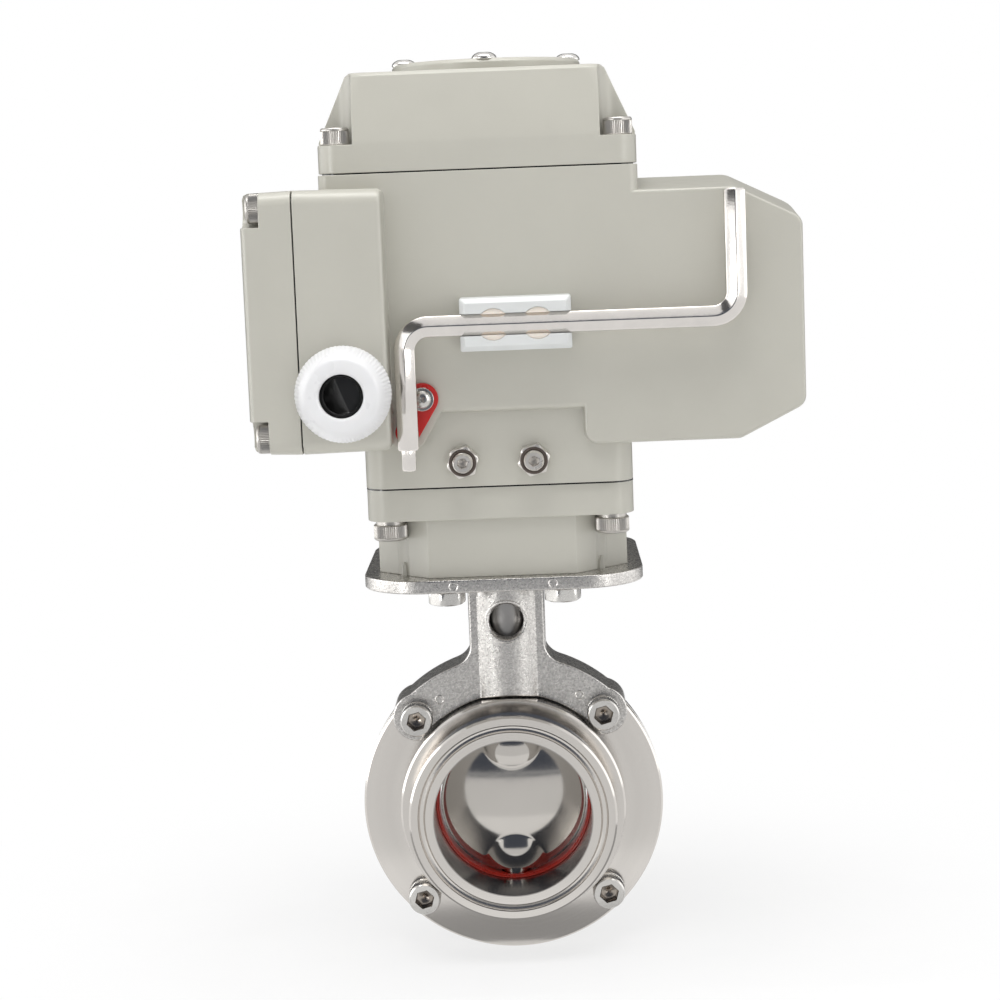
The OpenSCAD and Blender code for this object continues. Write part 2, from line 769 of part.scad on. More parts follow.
module yoke() color("darkgray") difference() {
    union() {
        translate([0, 0, plate_z]) linear_extrude(plate_t)
            rounded_rect(-plate_w / 2, plate_w / 2, -plate_w / 2, plate_w / 2, plate_r);
        translate([0, ear_y1, 0]) along_y() linear_extrude(2 * ear_y1) fork_outline();
        translate([0, 0, saddle_r - saddle_bite])
            cylinder(r = column_r, h = plate_z + overcut - saddle_r + saddle_bite);
    }
    y_bar(saddle_r, -plate_w, plate_w);
    y_bar(flange_r + saddle_gap, -ear_y0, ear_y0);
    cylinder(r = stem_hole_r, h = coupling_z0);
    translate([0, 0, coupling_z0 - air_gap]) cylinder(r = chamber_r, h = plate_top);
    translate([0, 0, window_z]) {
        y_bar(window_r, -plate_w, plate_w);
        for (s = [-1, 1]) translate([0, s * column_r, 0]) rotate([s * -90, 0, 0])
            translate([0, 0, -window_flare / 2])
                cylinder(r1 = window_r, r2 = window_r + window_flare, h = window_flare);
    }
    for (x = [-1, 1]) translate([x * bolt_xz, 0, bolt_xz]) y_bar(screw_hole_r, -plate_w, plate_w);
    for (x = [-1, 1], y = [-1, 1]) translate([x * plate_bolt_xy, y * plate_bolt_xy, plate_z - overcut])
        cylinder(r = screw_hole_r, h = plate_t + 2 * overcut);
}

module yoke_bolts() color("silver") for (x = [-1, 1], y = [-1, 1])
    translate([x * plate_bolt_xy, y * plate_bolt_xy, plate_z]) rotate([180, 0, 0])
        hex_bolt(screw_d, nut_af, plate_t + yoke_thread);

// Sleeve that joins the stem's square to the drive square of the actuator
module drive_coupling() color("silver") difference() {
    union() {
        translate([0, 0, coupling_z0]) cylinder(r = coupling_r, h = plate_top - coupling_z0);
        square_bar(drive_sq, plate_top - overcut, plate_top + drive_depth - overcut);
    }
    square_bar(tongue_w + 2 * seat_gap, coupling_z0 - overcut, coupling_z0 + tongue_up);
}

// Actuator castings

// Plan of the pedestal: a square with chamfered corners
module pedestal_plan() {
    a = pedestal_half;
    b = pedestal_half - pedestal_chamfer;
    polygon([[-b, -a], [b, -a], [a, -b], [a, b], [b, a], [-b, a], [-a, b], [-a, -b]]);
}

module base_housing() color("#b3b0a4") difference() {
    union() {
        translate([0, 0, plate_top]) linear_extrude(pedestal_h + overcut) pedestal_plan();
        translate([0, 0, base_z]) linear_extrude(base_t)
            rounded_rect(-base_half, base_half, -base_half, base_half, base_r);
    }
    translate([0, 0, plate_top - overcut]) cylinder(r = journal_r + base_bush_wall / 2, h = base_top);
    translate([0, 0, plate_top + bush_lip]) cylinder(r = journal_r + base_bush_wall + seat_gap, h = base_top);
    for (x = [-1, 1], y = [-1, 1]) {
        translate([x * base_screw_half, y * base_screw_half, base_z - overcut])
            cylinder(r = screw_hole_r, h = base_t + 2 * overcut);
        translate([x * base_screw_half, y * base_screw_half, plate_top - overcut])
            cylinder(r = head_relief_r, h = pedestal_h + overcut);
        translate([x * plate_bolt_xy, y * plate_bolt_xy, plate_top - overcut])
            cylinder(r = screw_r + seat_gap, h = yoke_thread + 2 * overcut);
    }
}

module base_screws() color("silver") for (x = [-1, 1], y = [-1, 1])
    translate([x * base_screw_half, y * base_screw_half, base_z]) rotate([180, 0, 0])
        cap_screw(screw_d, base_t + base_thread);

module shaft_bush() color("goldenrod") translate([0, 0, plate_top + bush_lip]) difference() {
    cylinder(r = journal_r + base_bush_wall, h = base_top - plate_top - bush_lip);
    translate([0, 0, -overcut]) cylinder(r = journal_r + run_gap, h = base_top);
}

// Upper box of the housing, with a soft lower edge: each inset is [rise, inset, corner radius]
module tower_shape() box_stack([
    for (s = [[0, 2, 1.5], [0.6, 0.6, 2.5], [2, 0, 3], [seam_z - panel_z, 0, 3]])
        [panel_z + s[0], tower_x0 + s[1], tower_x1 - s[1], -panel_y + s[1], panel_y - s[1], s[2]]
]);

// Motor bulge or its inner room: each slice is [depth, growth of the outline]
module bulge_stack(slices) along_y() loft([for (s = slices) corner_ring(bulge_corners, bulge_r + s[1], s[0])]);

// Bulge with soft edges at both ends and draft towards its parting plane
module bulge_shape() bulge_stack(concat(
    [for (i = [0 : 2]) [-panel_y + soft_edges[i][0], -soft_edges[i][1]]],
    [[0, bulge_draft]],
    [for (i = [2 : -1 : 0]) [panel_y - soft_edges[i][0], -soft_edges[i][1]]]
));

// Box lying along X: each slice is [x, inset of the outline, corner radius]
module terminal_stack(slices) along_x() box_stack([
    for (s = slices) [s[0], -box_front + s[1], box_back - s[1], box_z0 + s[1], box_z1 - s[1], s[2]]
]);

// Slice of the soft edge at one end of the box: way points from that end into the box
function box_slice(end, way, i) = let (soft = box_soft * soft_profile[i])
    [end + way * soft[0], box_draft + soft[1], box_corner_r - soft[1] / 2];

// Terminal box, open towards -X
module terminal_shape() terminal_stack(concat(
    [[box_seam_x, 0, box_corner_r]],
    [for (i = [2 : -1 : 0]) box_slice(box_x1, -1, i)]
));

// Teardrop outline of the flap and of the raised pad under it: two arcs joined by their tangents
module flap_plan(grow) {
    step = flap_end - flap_c;
    side = acos((flap_r - flap_tail_r) / norm(step));
    lean = atan2(step[1], step[0]);
    arcs = [[flap_c, flap_r, lean + side, 360 - 2 * side], [flap_end, flap_tail_r, lean - side, 2 * side]];
    polygon([for (arc = arcs, k = [0 : arc_steps]) let (a = arc[2] + arc[3] * k / arc_steps)
        arc[0] + (arc[1] + grow) * [cos(a), sin(a)]]);
}

// Inner room of the main housing
module housing_cavity() {
    translate([0, 0, base_top - overcut]) linear_extrude(panel_rise + wall + 2 * overcut)
        rounded_rect(cavity_x0, block_half - wall, -block_y + wall, block_y - wall, room_r);
    translate([0, 0, panel_z + wall]) linear_extrude(housing_h)
        rounded_rect(cavity_x0, tower_x1 - wall, -panel_y + wall, panel_y - wall, room_r);
    translate([0, 0, panel_z + wall]) linear_extrude(housing_h)
        rounded_rect(tower_x0 + wall, cavity_x0 + 2 * room_r, box_back, panel_y - wall, room_r - overcut);
    bulge_stack([[-panel_y + wall, -wall], [panel_y - wall, -wall]]);
}

// Inner room of the terminal box, with a bay behind the gland and bosses for the cover screws
module terminal_cavity() difference() {
    union() {
        translate([box_seam_x - overcut, 0, 0]) along_x()
            linear_extrude(cavity_x0 - partition_t - box_seam_x + overcut)
                rounded_rect(-box_front + wall, box_back - wall, box_z0 + wall, box_z1 - wall, room_r);
        translate([box_seam_x - overcut, 0, 0]) along_x() linear_extrude(gland_bay_x - box_seam_x + overcut)
            rounded_rect(-box_front + wall, -panel_y - wall, gland_z - gland_bay_r, gland_z + gland_bay_r, 2);
    }
    for (y = box_screw_y, z = box_screw_z) translate([box_seam_x - 2 * overcut, y, z]) along_x()
        cylinder(r = box_boss_r, h = box_thread + boss_floor + 2 * overcut);
    for (y = [-1, 1]) translate([cover_screw_x[0], y * cover_screw_y, seam_z - cover_thread - boss_floor])
        cylinder(r = cover_boss_r, h = cover_thread + boss_floor);
}

// Posts and lugs inside the housing: shelf corners, train plate stand-offs, worm bearing, screw bosses
module housing_posts() {
    for (y = shelf_post_y) {
        translate([shelf_post_x, y, base_top]) cylinder(r = post_r, h = shelf_z - base_top);
        translate([shelf_lug_x, y, shelf_lug_z]) cylinder(r = post_r, h = shelf_z - shelf_lug_z);
    }
    for (p = train_posts) translate([p[0], 0, p[1]])
        y_bar(post_r, train_y0 + train_t, (p[1] < panel_z ? block_y : panel_y) - overcut);
    translate([worm_x, 0, worm_z]) y_bar(bush_r + boss_wall, -block_y + overcut, front_bush_y1);
    for (x = [-1, 1], y = [-1, 1]) translate([x * base_screw_half, y * base_screw_half, base_top])
        cylinder(r = screw_r + 2, h = base_boss_h);
    for (x = cover_screw_x, y = [-1, 1]) if (x > 0 || y > 0)
        translate([x, y * cover_screw_y, seam_z - cover_thread - boss_floor])
            cylinder(r = cover_boss_r, h = cover_thread + boss_floor);
}

module main_housing() color("#b3b0a4") difference() {
    union() {
        difference() {
            union() {
                tower_shape();
                bulge_shape();
                terminal_shape();
                translate([0, 0, base_top]) linear_extrude(panel_rise + wall)
                    rounded_rect(-block_half, block_half, -block_y, block_y, base_r);
                translate([0, -panel_y + pad_depth, 0]) along_y()
                    linear_extrude(pad_depth) flap_plan(pad_rim);
            }
            housing_cavity();
            terminal_cavity();
        }
        housing_posts();
    }
    for (x = [-1, 1], y = [-1, 1]) translate([x * base_screw_half, y * base_screw_half, base_top - overcut])
        cylinder(r = screw_r + seat_gap, h = base_thread + overcut + air_gap);
    for (x = cover_screw_x, y = [-1, 1]) translate([x, y * cover_screw_y, seam_z - cover_thread - overcut])
        cylinder(r = cover_screw_d / 2 + seat_gap, h = cover_thread + 2 * overcut);
    for (y = box_screw_y, z = box_screw_z) translate([box_seam_x - overcut, y, z]) along_x()
        cylinder(r = cover_screw_d / 2 + seat_gap, h = box_thread + 2 * overcut);
    for (x = [-1, 1]) translate([x * stop_x, 0, stop_z])
        y_bar(screw_r + seat_gap, -2 * block_y, -block_y + wall + overcut);
    translate([gland_x, 0, gland_z])
        y_bar(gland_r + seat_gap, -box_front - overcut, -box_front + wall + overcut);
    translate([worm_x, 0, worm_z]) {
        y_bar(key_hole_r, -2 * panel_y, 0);
        y_bar(bush_r + seat_gap, worm_front_y, worm_front_y + front_bush_l + 2 * overcut);
    }
    translate([flap_c[0], 0, flap_c[1]]) y_bar(flap_screw_r + seat_gap, -2 * panel_y, -panel_y + pad_depth);
    for (x = [shelf_lug_x, shelf_post_x], y = shelf_post_y) translate([x, y, shelf_z - post_thread - overcut])
        cylinder(r = post_screw_r + seat_gap, h = post_thread + 2 * overcut);
    for (p = train_posts) translate([p[0], 0, p[1]])
        y_bar(post_screw_r + seat_gap, train_y0, train_y0 + train_t + post_thread + overcut);
    translate([cavity_x0 - partition_t - overcut, box_back - wire_in, box_z1 - wire_in]) along_x()
        cylinder(r = wire_hole_r, h = partition_t + 2 * overcut);
}

// Sloped outer form of the top cover, or its inner room when inset by a wall
module cover_shape(z0, inset) box_stack([
    for (s = [[z0, 0, 0, 6], [ledge_z - inset / 2, 0, 0, 6],
              [cover_top - 1 - inset, cover_lean - 0.6, cover_lean / 2 - 0.4, 6],
              [cover_top - inset, cover_lean + 0.6, cover_lean / 2 + 0.8, 5]])
        [s[0], tower_x0 + s[1] + inset, tower_x1 - s[1] - inset,
         -panel_y + s[2] + inset, panel_y - s[2] - inset, s[3] - inset / 2]
]);

module top_cover() color("#b3b0a4") difference() {
    cover_shape(seam_z + gasket_t, 0);
    difference() {
        cover_shape(seam_z - overcut, wall);
        for (x = cover_screw_x, y = [-1, 1]) translate([x, y * cover_screw_y, seam_z - 2 * overcut])
            cylinder(r = cover_pocket_r + pocket_wall, h = cover_h);
    }
    for (x = cover_screw_x, y = [-1, 1]) translate([x, y * cover_screw_y, 0]) {
        translate([0, 0, cover_seat_z]) cylinder(r = cover_pocket_r, h = cover_h);
        translate([x < 0 ? -2 * cover_pocket_r : 0, -cover_pocket_r, cover_seat_z])
            cube([2 * cover_pocket_r, 2 * cover_pocket_r, cover_h]);
        translate([-cover_pocket_r, y < 0 ? -2 * cover_pocket_r : 0, cover_seat_z])
            cube([2 * cover_pocket_r, 2 * cover_pocket_r, cover_h]);
        translate([0, 0, seam_z]) cylinder(r = cover_screw_d / 2 + shank_gap, h = cover_h);
    }
    translate([0, 0, seam_z]) cylinder(r = sight_r, h = 2 * cover_h);
    for (a = [0 : 90 : 270]) rotate(a) translate([bezel_screw_r, 0, cover_top - wall - overcut])
        cylinder(r = bezel_thread_r + seat_gap, h = wall + 2 * overcut);
}

module cover_gasket() color("#3a3a3a") translate([0, 0, seam_z]) difference() {
    linear_extrude(gasket_t) difference() {
        rounded_rect(tower_x0 + gasket_in, tower_x1 - gasket_in, -panel_y + gasket_in, panel_y - gasket_in, 5);
        rounded_rect(tower_x0 + gasket_in + wall, tower_x1 - gasket_in - wall,
                     -panel_y + gasket_in + wall, panel_y - gasket_in - wall, 3);
    }
    for (x = cover_screw_x, y = [-1, 1]) translate([x, y * cover_screw_y, -overcut])
        cylinder(r = cover_screw_d / 2 + shank_gap, h = gasket_t + 2 * overcut);
}

module cover_screws() color("silver") for (x = cover_screw_x, y = [-1, 1])
    translate([x, y * cover_screw_y, cover_seat_z])
        cap_screw(cover_screw_d, cover_seat_z - seam_z + cover_thread);

// Clear low dome in the bezel
module sight_window() color([0.8, 0.9, 0.9, 0.5]) translate([0, 0, cover_top]) rotate_extrude()
    polygon(concat(
        [[0, 0], [window_glass_r, 0]],
        [for (a = [0 : 15 : 90]) [window_glass_r * cos(a) * 0.96, 1.6 + window_dome * sin(a)]]
    ));

module window_bezel() color("#b3b0a4") translate([0, 0, cover_top]) difference() {
    rotate_extrude() polygon([
        [window_glass_r + seat_gap, 0], [bezel_r, 0], [bezel_r, bezel_h - 1], [bezel_r - 1, bezel_h],
        [window_glass_r + 1, bezel_h], [window_glass_r + seat_gap, bezel_h - 1]
    ]);
    for (a = [0 : 90 : 270]) rotate(a) translate([bezel_screw_r, 0, -overcut])
        cylinder(r = bezel_thread_r + shank_gap, h = bezel_h + 2 * overcut);
}

// Pan head screws of the bezel
module window_screws() color("silver") for (a = [0 : 90 : 270])
    rotate(a) translate([bezel_screw_r, 0, cover_top + bezel_h]) {
        rotate_extrude() polygon([[0, 0], [3.3, 0], [3.3, 0.8], [2.4, 1.7], [0, 2]]);
        translate([0, 0, -bezel_h - wall + 0.4]) cylinder(r = bezel_thread_r, h = bezel_h + wall);
    }

// Round pointer disc under the window
module position_indicator() color("orange") translate([0, 0, indicator_z]) difference() {
    union() {
        cylinder(r = indicator_r, h = dial_t);
        translate([-indicator_r + pointer_in, -pointer_w / 2, 0])
            cube([2 * indicator_r - 2 * pointer_in, pointer_w, indicator_t - pointer_drop]);
        translate([0, 0, -dial_hub_l]) cylinder(r = spindle_r + dial_hub_wall, h = dial_hub_l + dial_t);
    }
    translate([0, 0, -dial_hub_l - overcut])
        cylinder(r = spindle_r + seat_gap, h = dial_hub_l + overcut + dial_bore_top);
}

// Terminal box fittings

module terminal_cover() color("#b3b0a4") {
    seam = box_seam_x - gasket_t;
    difference() {
        terminal_stack(concat(
            [for (i = [0 : 2]) box_slice(box_x0, 1, i)],
            [[seam, 0, box_corner_r]]
        ));
        difference() {
            translate([box_x0 + wall, 0, 0]) along_x() linear_extrude(seam - box_x0)
                rounded_rect(-box_front + wall, box_back - wall, box_z0 + wall, box_z1 - wall, room_r);
            for (y = box_screw_y, z = box_screw_z) translate([box_x0, y, z]) along_x()
                cylinder(r = cover_pocket_r + pocket_wall, h = seam - box_x0 + overcut);
        }
        for (y = box_screw_y, z = box_screw_z) translate([box_x0 - overcut, y, z]) along_x() {
            cylinder(r = cover_screw_d / 2 + shank_gap, h = seam - box_x0 + 2 * overcut);
            cylinder(r = cover_pocket_r, h = box_ledge_x - box_x0 + overcut);
            translate([y < 0 ? -2 * cover_pocket_r : 0, -cover_pocket_r, 0])
                cube([2 * cover_pocket_r, 2 * cover_pocket_r, box_ledge_x - box_x0 + overcut]);
        }
    }
}

module terminal_gasket() color("#3a3a3a") difference() {
    translate([box_seam_x - gasket_t, 0, 0]) along_x() linear_extrude(gasket_t) difference() {
        rounded_rect(-box_front + gasket_in, box_back - gasket_in, box_z0 + gasket_in, box_z1 - gasket_in, 5);
        rounded_rect(-box_front + gasket_in + wall, box_back - gasket_in - wall,
                     box_z0 + gasket_in + wall, box_z1 - gasket_in - wall, 3);
    }
    for (y = box_screw_y, z = box_screw_z) translate([box_seam_x - gasket_t - overcut, y, z]) along_x()
        cylinder(r = cover_screw_d / 2 + shank_gap, h = gasket_t + 2 * overcut);
}

module terminal_screws() color("silver") for (y = box_screw_y, z = box_screw_z)
    translate([box_ledge_x, y, z]) rotate([0, -90, 0])
        cap_screw(cover_screw_d, box_seam_x - box_ledge_x + box_thread);

// Screw terminal strip on the partition
module terminal_block() color("#4d6650")
    translate([cavity_x0 - partition_t - block_deep, block_end_y - block_l, box_z1 - block_drop]) difference() {
        cube([block_deep, block_l, block_w]);
        for (i = [0 : block_ways - 1], z = [block_w / 4, block_w * 3 / 4])
            translate([-overcut, (i + 0.5) * block_l / block_ways, z])
                along_x() cylinder(r = block_screw_r, h = block_deep / 2);
    }

module gland_body() color("whitesmoke") translate([gland_x, 0, gland_z]) difference() {
    union() {
        translate([0, -box_front, 0]) along_y() cylinder(r = gland_r + 3, h = gland_hex_t, $fn = 6);
        y_bar(gland_r, -box_front - 1, -box_front + wall + 1);
        y_bar(gland_r - 0.6, -box_front - gland_hex_t - gland_nut_l + 3, -box_front);
    }
    y_bar(gland_hole_r + 1.6, -2 * box_front, 0);
}

// Domed cap nut of the gland
module gland_nut() color("white") translate([gland_x, -box_front - gland_hex_t, gland_z]) along_y()
    rotate_extrude() polygon([
        [gland_r - 0.4, 0], [gland_nut_r - 0.6, 0], [gland_nut_r, 0.8], [gland_nut_r, 4.5],
        [gland_nut_r - 0.8, 7], [gland_lip_r + 1, gland_nut_l - 0.5], [gland_lip_r, gland_nut_l],
        [gland_hole_r, gland_nut_l], [gland_hole_r, gland_nut_l - 2], [gland_r - 0.4, gland_nut_l - 2.4]
    ]);

// Rubber cable seal with its blanking dome
module gland_seal() color("#202020") translate([gland_x, -box_front - gland_hex_t - gland_nut_l + 2.2, gland_z])
    rotate([-90, 0, 0]) rotate_extrude() polygon([
        [0, 0.5], [2.5, 0], [gland_hole_r - 0.1, 0.8],
        [gland_hole_r + 1.5, 2.5], [gland_hole_r + 1.5, 10], [0, 10]
    ]);

// Drive train

// Output shaft with drive socket, collar, wheel seat and cam spindle
module output_shaft() color("#8c8c90") difference() {
    union() {
        translate([0, 0, plate_top + 2 * air_gap]) cylinder(r = journal_r, h = base_top - plate_top);
        translate([0, 0, collar_z]) cylinder(r = journal_r + 2, h = collar_t);
        translate([0, 0, base_top]) cylinder(r = shaft_r, h = shaft_top - base_top);
        translate([0, 0, shaft_top - overcut]) cylinder(r = spindle_r, h = indicator_z - overcut - shaft_top);
    }
    square_bar(drive_sq + 2 * seat_gap, plate_top, plate_top + drive_depth);
}

// Stop cam: a hub with a sector whose two flats meet the stop bolts a quarter turn apart
module stop_cam() color("#77777c") translate([0, 0, cam_z0]) linear_extrude(stop_cam_t) difference() {
    union() {
        circle(r = stop_cam_r);
        intersection() {
            circle(r = stop_sector_r);
            translate([stop_tip_y, stop_tip_y]) square(2 * stop_sector_r);
            polygon(2 * stop_sector_r * [[0, 0], [1, -1], [1, 1], [-1, 1]]);
        }
    }
    circle(r = shaft_r + seat_gap);
}

// Worm wheel with teeth slanted to the worm's lead
module worm_wheel() color("peru") difference() {
    union() {
        translate([0, 0, worm_z]) rotate(wheel_phase - wheel_twist / 2)
            linear_extrude(wheel_t, center = true, twist = -wheel_twist, slices = 3)
                gear_outline(wheel_m, wheel_teeth, wheel_backlash, 0.5, 1.25);
        translate([0, 0, cam_z0 + stop_cam_t]) cylinder(r = wheel_hub_r, h = wheel_top - cam_z0 - stop_cam_t);
    }
    cylinder(r = shaft_r + seat_gap, h = seam_z);
}

module shaft_circlip() color("silver") translate([0, 0, wheel_top]) difference() {
    cylinder(r = shaft_r + circlip_w, h = circlip_t);
    translate([0, 0, -overcut]) {
        cylinder(r = shaft_r + seat_gap, h = circlip_t + 2 * overcut);
        translate([-circlip_w, 0, 0]) cube([2 * circlip_w, shaft_d, circlip_t + 2 * overcut]);
    }
}

// Worm shaft: a round-threaded worm on a plain shaft with a hex key socket
module worm_shaft() color("#8c8c90") translate([worm_x, 0, worm_z]) difference() {
    union() {
        y_bar(worm_shaft_r, worm_front_y + overcut, worm_back_y);
        y_bar(bush_r, front_bush_y1 + air_gap, front_bush_y1 + worm_collar_t);
        translate([0, worm_turns * worm_lead / 2, 0]) along_y()
            linear_extrude(worm_turns * worm_lead, twist = -360 * worm_turns,
                           slices = worm_turns * 10, $fn = 16)
                translate([worm_amp, 0]) circle(r = worm_r);
    }
    translate([0, worm_front_y, 0]) rotate([-90, 0, 0])
        cylinder(d = (tip_af + air_gap) * hex_corner, h = tip_l + 2 * overcut, $fn = 6);
}

module worm_front_bush() color("goldenrod") translate([worm_x, 0, worm_z]) difference() {
    y_bar(bush_r, worm_front_y + seat_gap, front_bush_y1);
    y_bar(worm_shaft_r + run_gap, -block_y, 0);
}

module worm_rear_bush() color("goldenrod") translate([worm_x, 0, worm_z]) difference() {
    y_bar(bush_r, train_y0 - overcut, train_y0 + train_t + overcut);
    y_bar(worm_shaft_r + run_gap, 0, block_y);
}

// Spur gear behind the train plate, with a bore and lightening holes where it is large
module spur_gear(c, teeth, turn, bore) translate([c[0], gear_y0 + gear_t, c[1]]) along_y() difference() {
    rotate(turn) linear_extrude(gear_t) gear_outline(spur_m, teeth, spur_backlash, 0.7, 1.3);
    translate([0, 0, -overcut]) cylinder(r = bore, h = gear_t + 2 * overcut);
    if (teeth > 30) for (a = [0 : 60 : 300]) rotate(a) translate([0.3 * spur_m * teeth, 0, -overcut])
        cylinder(r = light_hole_r, h = gear_t + 2 * overcut);
}

module worm_gear() color("peru") spur_gear([worm_x, worm_z], worm_gear_teeth, 0, worm_shaft_r + seat_gap);

module idler_gear_1() color("ivory") spur_gear(idler_1, idler_teeth, idler_turn_1, idler_pin_r + run_gap);

module idler_gear_2() color("ivory") spur_gear(idler_2, idler_teeth, idler_turn_2, idler_pin_r + run_gap);

module motor_pinion() color("silver") {
    spur_gear(pinion_c, pinion_teeth, pinion_turn, motor_shaft_r / 2);
    translate([pinion_c[0], 0, pinion_c[1]])
        y_bar(motor_shaft_r, train_y0 + air_gap, gear_y0 + gear_t + air_gap);
}

module idler_pins() color("silver") for (c = [idler_1, idler_2]) translate([c[0], 0, c[1]]) {
    y_bar(idler_pin_r, train_y0, gear_y0 + gear_t + pin_head_t);
    y_bar(idler_pin_r + boss_wall / 2, gear_y0 + gear_t + air_gap, gear_y0 + gear_t + pin_head_t);
    y_bar(idler_pin_r + boss_wall / 2, train_y0 + train_t, gear_y0 - air_gap);
}

// Upright plate that carries the gears and the gearmotor
module train_plate() color("lightgray") translate([0, train_y0 + train_t, 0]) difference() {
    along_y() linear_extrude(train_t) difference() {
        union() {
            rounded_rect(cavity_x0 + room_gap, block_half - wall - room_gap, train_z0, train_z1, sheet_r);
            rounded_rect(0, gearbox_x1, gearbox_z0, train_z1, sheet_r);
        }
        translate([worm_x, worm_z]) circle(r = bush_r + seat_gap);
        translate(pinion_c) circle(r = motor_shaft_r + room_gap);
        for (c = [idler_1, idler_2]) translate(c) circle(r = idler_pin_r + seat_gap);
        for (p = concat(train_posts, motor_fixings)) translate(p) circle(r = post_screw_r + seat_gap);
    }
}

module train_screws() color("silver") for (p = train_posts) translate([p[0], train_y0, p[1]]) along_y()
    cap_screw(2 * post_screw_r, train_t + post_thread);

// Sealed gearmotor: flat gearbox with the motor can in front of it
module gearmotor() color("#55595c") {
    translate([0, train_y0, 0]) along_y() linear_extrude(gearbox_t) difference() {
        rounded_rect(gearbox_x0, gearbox_x1, gearbox_z0, gearbox_z1, room_r);
        translate(pinion_c) circle(r = motor_shaft_r + room_gap);
        for (p = motor_fixings) translate(p) circle(r = post_screw_r + seat_gap);
    }
    translate([motor_c[0], 0, motor_c[1]]) {
        y_bar(motor_r, train_y0 - gearbox_t - motor_l, train_y0 - gearbox_t + overcut);
        y_bar(motor_nose_r, train_y0 - gearbox_t - motor_l - motor_nose_l, train_y0 - gearbox_t);
    }
}

module motor_screws() color("silver") for (p = motor_fixings) translate([p[0], train_y0 + train_t, p[1]])
    rotate([-90, 0, 0]) cap_screw(2 * post_screw_r, train_t + post_thread);

// Shelf that carries the shaft's upper end and the switches
module bearing_shelf() color("lightgray") translate([0, 0, shelf_z]) difference() {
    linear_extrude(shelf_t) rounded_rect(cavity_x0 + room_gap, tower_x1 - wall - room_gap,
                                         -panel_y + wall + room_gap, train_y0 - room_gap, sheet_r);
    translate([0, 0, -overcut]) cylinder(r = shaft_r + run_gap, h = shelf_t + 2 * overcut);
    for (x = [shelf_lug_x, shelf_post_x], y = shelf_post_y) translate([x, y, -overcut])
        cylinder(r = post_screw_r + seat_gap, h = shelf_t + 2 * overcut);
}

module shelf_screws() color("silver") for (x = [shelf_lug_x, shelf_post_x], y = shelf_post_y)
    translate([x, y, shelf_z + shelf_t]) cap_screw(2 * post_screw_r, shelf_t + post_thread);

// Two cams on the spindle that trip the limit switches
module limit_cams() color("black") for (i = [0, 1]) translate([0, 0, limit_cam_z[i]]) difference() {
    union() {
        cylinder(r = limit_cam_r, h = limit_cam_t);
        intersection() {
            cylinder(r = limit_cam_r + lobe_lift, h = limit_cam_t);
            rotate(i * 90) translate([0, -lobe_w / 2, 0]) cube([2 * limit_cam_r, lobe_w, limit_cam_t]);
        }
    }
    translate([0, 0, -overcut]) cylinder(r = spindle_r + seat_gap, h = limit_cam_t + 2 * overcut);
}

// Snap switches with their lever blades
module limit_switches() color("#303030") for (z = limit_cam_z) translate([0, 0, z]) {
    translate([switch_x, -switch_l * 0.7, 0]) cube([switch_w, switch_l, limit_cam_t]);
    translate([blade_x, -switch_l * 0.6, blade_in]) cube([blade_t, switch_l * 0.8, limit_cam_t - 2 * blade_in]);
    translate([blade_x, -switch_l * 0.6, blade_in])
        cube([switch_x - blade_x + overcut, 2 * blade_t, limit_cam_t - 2 * blade_in]);
}

// Angle that holds the switches on the shelf
module switch_bracket() color("lightgray") translate([switch_x, -switch_l * 0.8, shelf_z + shelf_t]) {
    translate([switch_w, 0, 0])
        cube([bracket_t, switch_l * 1.2, limit_cam_z[1] + limit_cam_t - shelf_z - shelf_t]);
    cube([switch_w + overcut, switch_l * 1.2, bracket_t]);
}

module run_capacitor() color("#d8d8d0") translate([capacitor_c[0], capacitor_c[1], shelf_z + shelf_t]) {
    cylinder(r = capacitor_r, h = capacitor_h);
    cylinder(r = capacitor_r - bush_wall, h = capacitor_h + bush_wall);
}

// Front features

module stop_bolts() color("silver") for (x = [-1, 1]) translate([x * stop_x, 0, stop_z]) difference() {
    y_bar(screw_r, -stop_reach, stop_tip_y - stop_gap);
    translate([0, -stop_reach + stop_socket, 0]) along_y()
        cylinder(d = screw_d / 2 * hex_corner, h = 2 * stop_socket, $fn = 6);
}

module stop_nuts() color("silver") for (x = [-1, 1]) translate([x * stop_x, -block_y, stop_z]) along_y()
    rotate(stop_nut_turn * x) hex_nut(stop_nut_af, nut_h, screw_r + seat_gap);

// Moulded clip with a channel for the crank's bar and two round finger reliefs: each slice is [rise, inset]
module tool_clip() color("gainsboro") translate([clip_x, -panel_y, bar_z]) along_y() difference() {
    box_stack([for (s = [[0, 0], [clip_depth - clip_bevel, 0], [clip_depth, clip_bevel]])
        [s[0], -clip_w / 2 + s[1], clip_w / 2 - s[1], -clip_h / 2 + s[1], clip_h / 2 - s[1], edge_break]]);
    translate([-clip_w, -crank_af / 2 - clip_gap, crank_off - crank_af * hex_corner / 2 - clip_gap])
        cube([2 * clip_w, crank_af + 2 * clip_gap, clip_depth]);
    for (x = [-1, 1] * clip_relief_x) translate([x, 0, crank_off - overcut])
        cylinder(r = clip_relief_r, h = clip_depth);
}

// Bent hexagon bar: vertical legs up on the right and down on the left, with a thin tip
module crank_key() color("silver") translate([0, crank_y, 0]) {
    c = crank_af * hex_corner / 2;
    b = crank_bend;
    hexbar_x(crank_x0 + b, crank_x1 - b, bar_z, c);
    hexbar_z(crank_x1, bar_z + b, bar_z + crank_up, c);
    hexbar_z(crank_x0, bar_z - crank_down, bar_z - b, c);
    hexbar_z(crank_x0, bar_z - crank_down - tip_l, bar_z - crank_down + 1, tip_af * hex_corner / 2);
    translate([crank_x1 - b, 0, bar_z + b]) hex_bend(-90, c);
    translate([crank_x0 + b, 0, bar_z - b]) hex_bend(90, c);
}

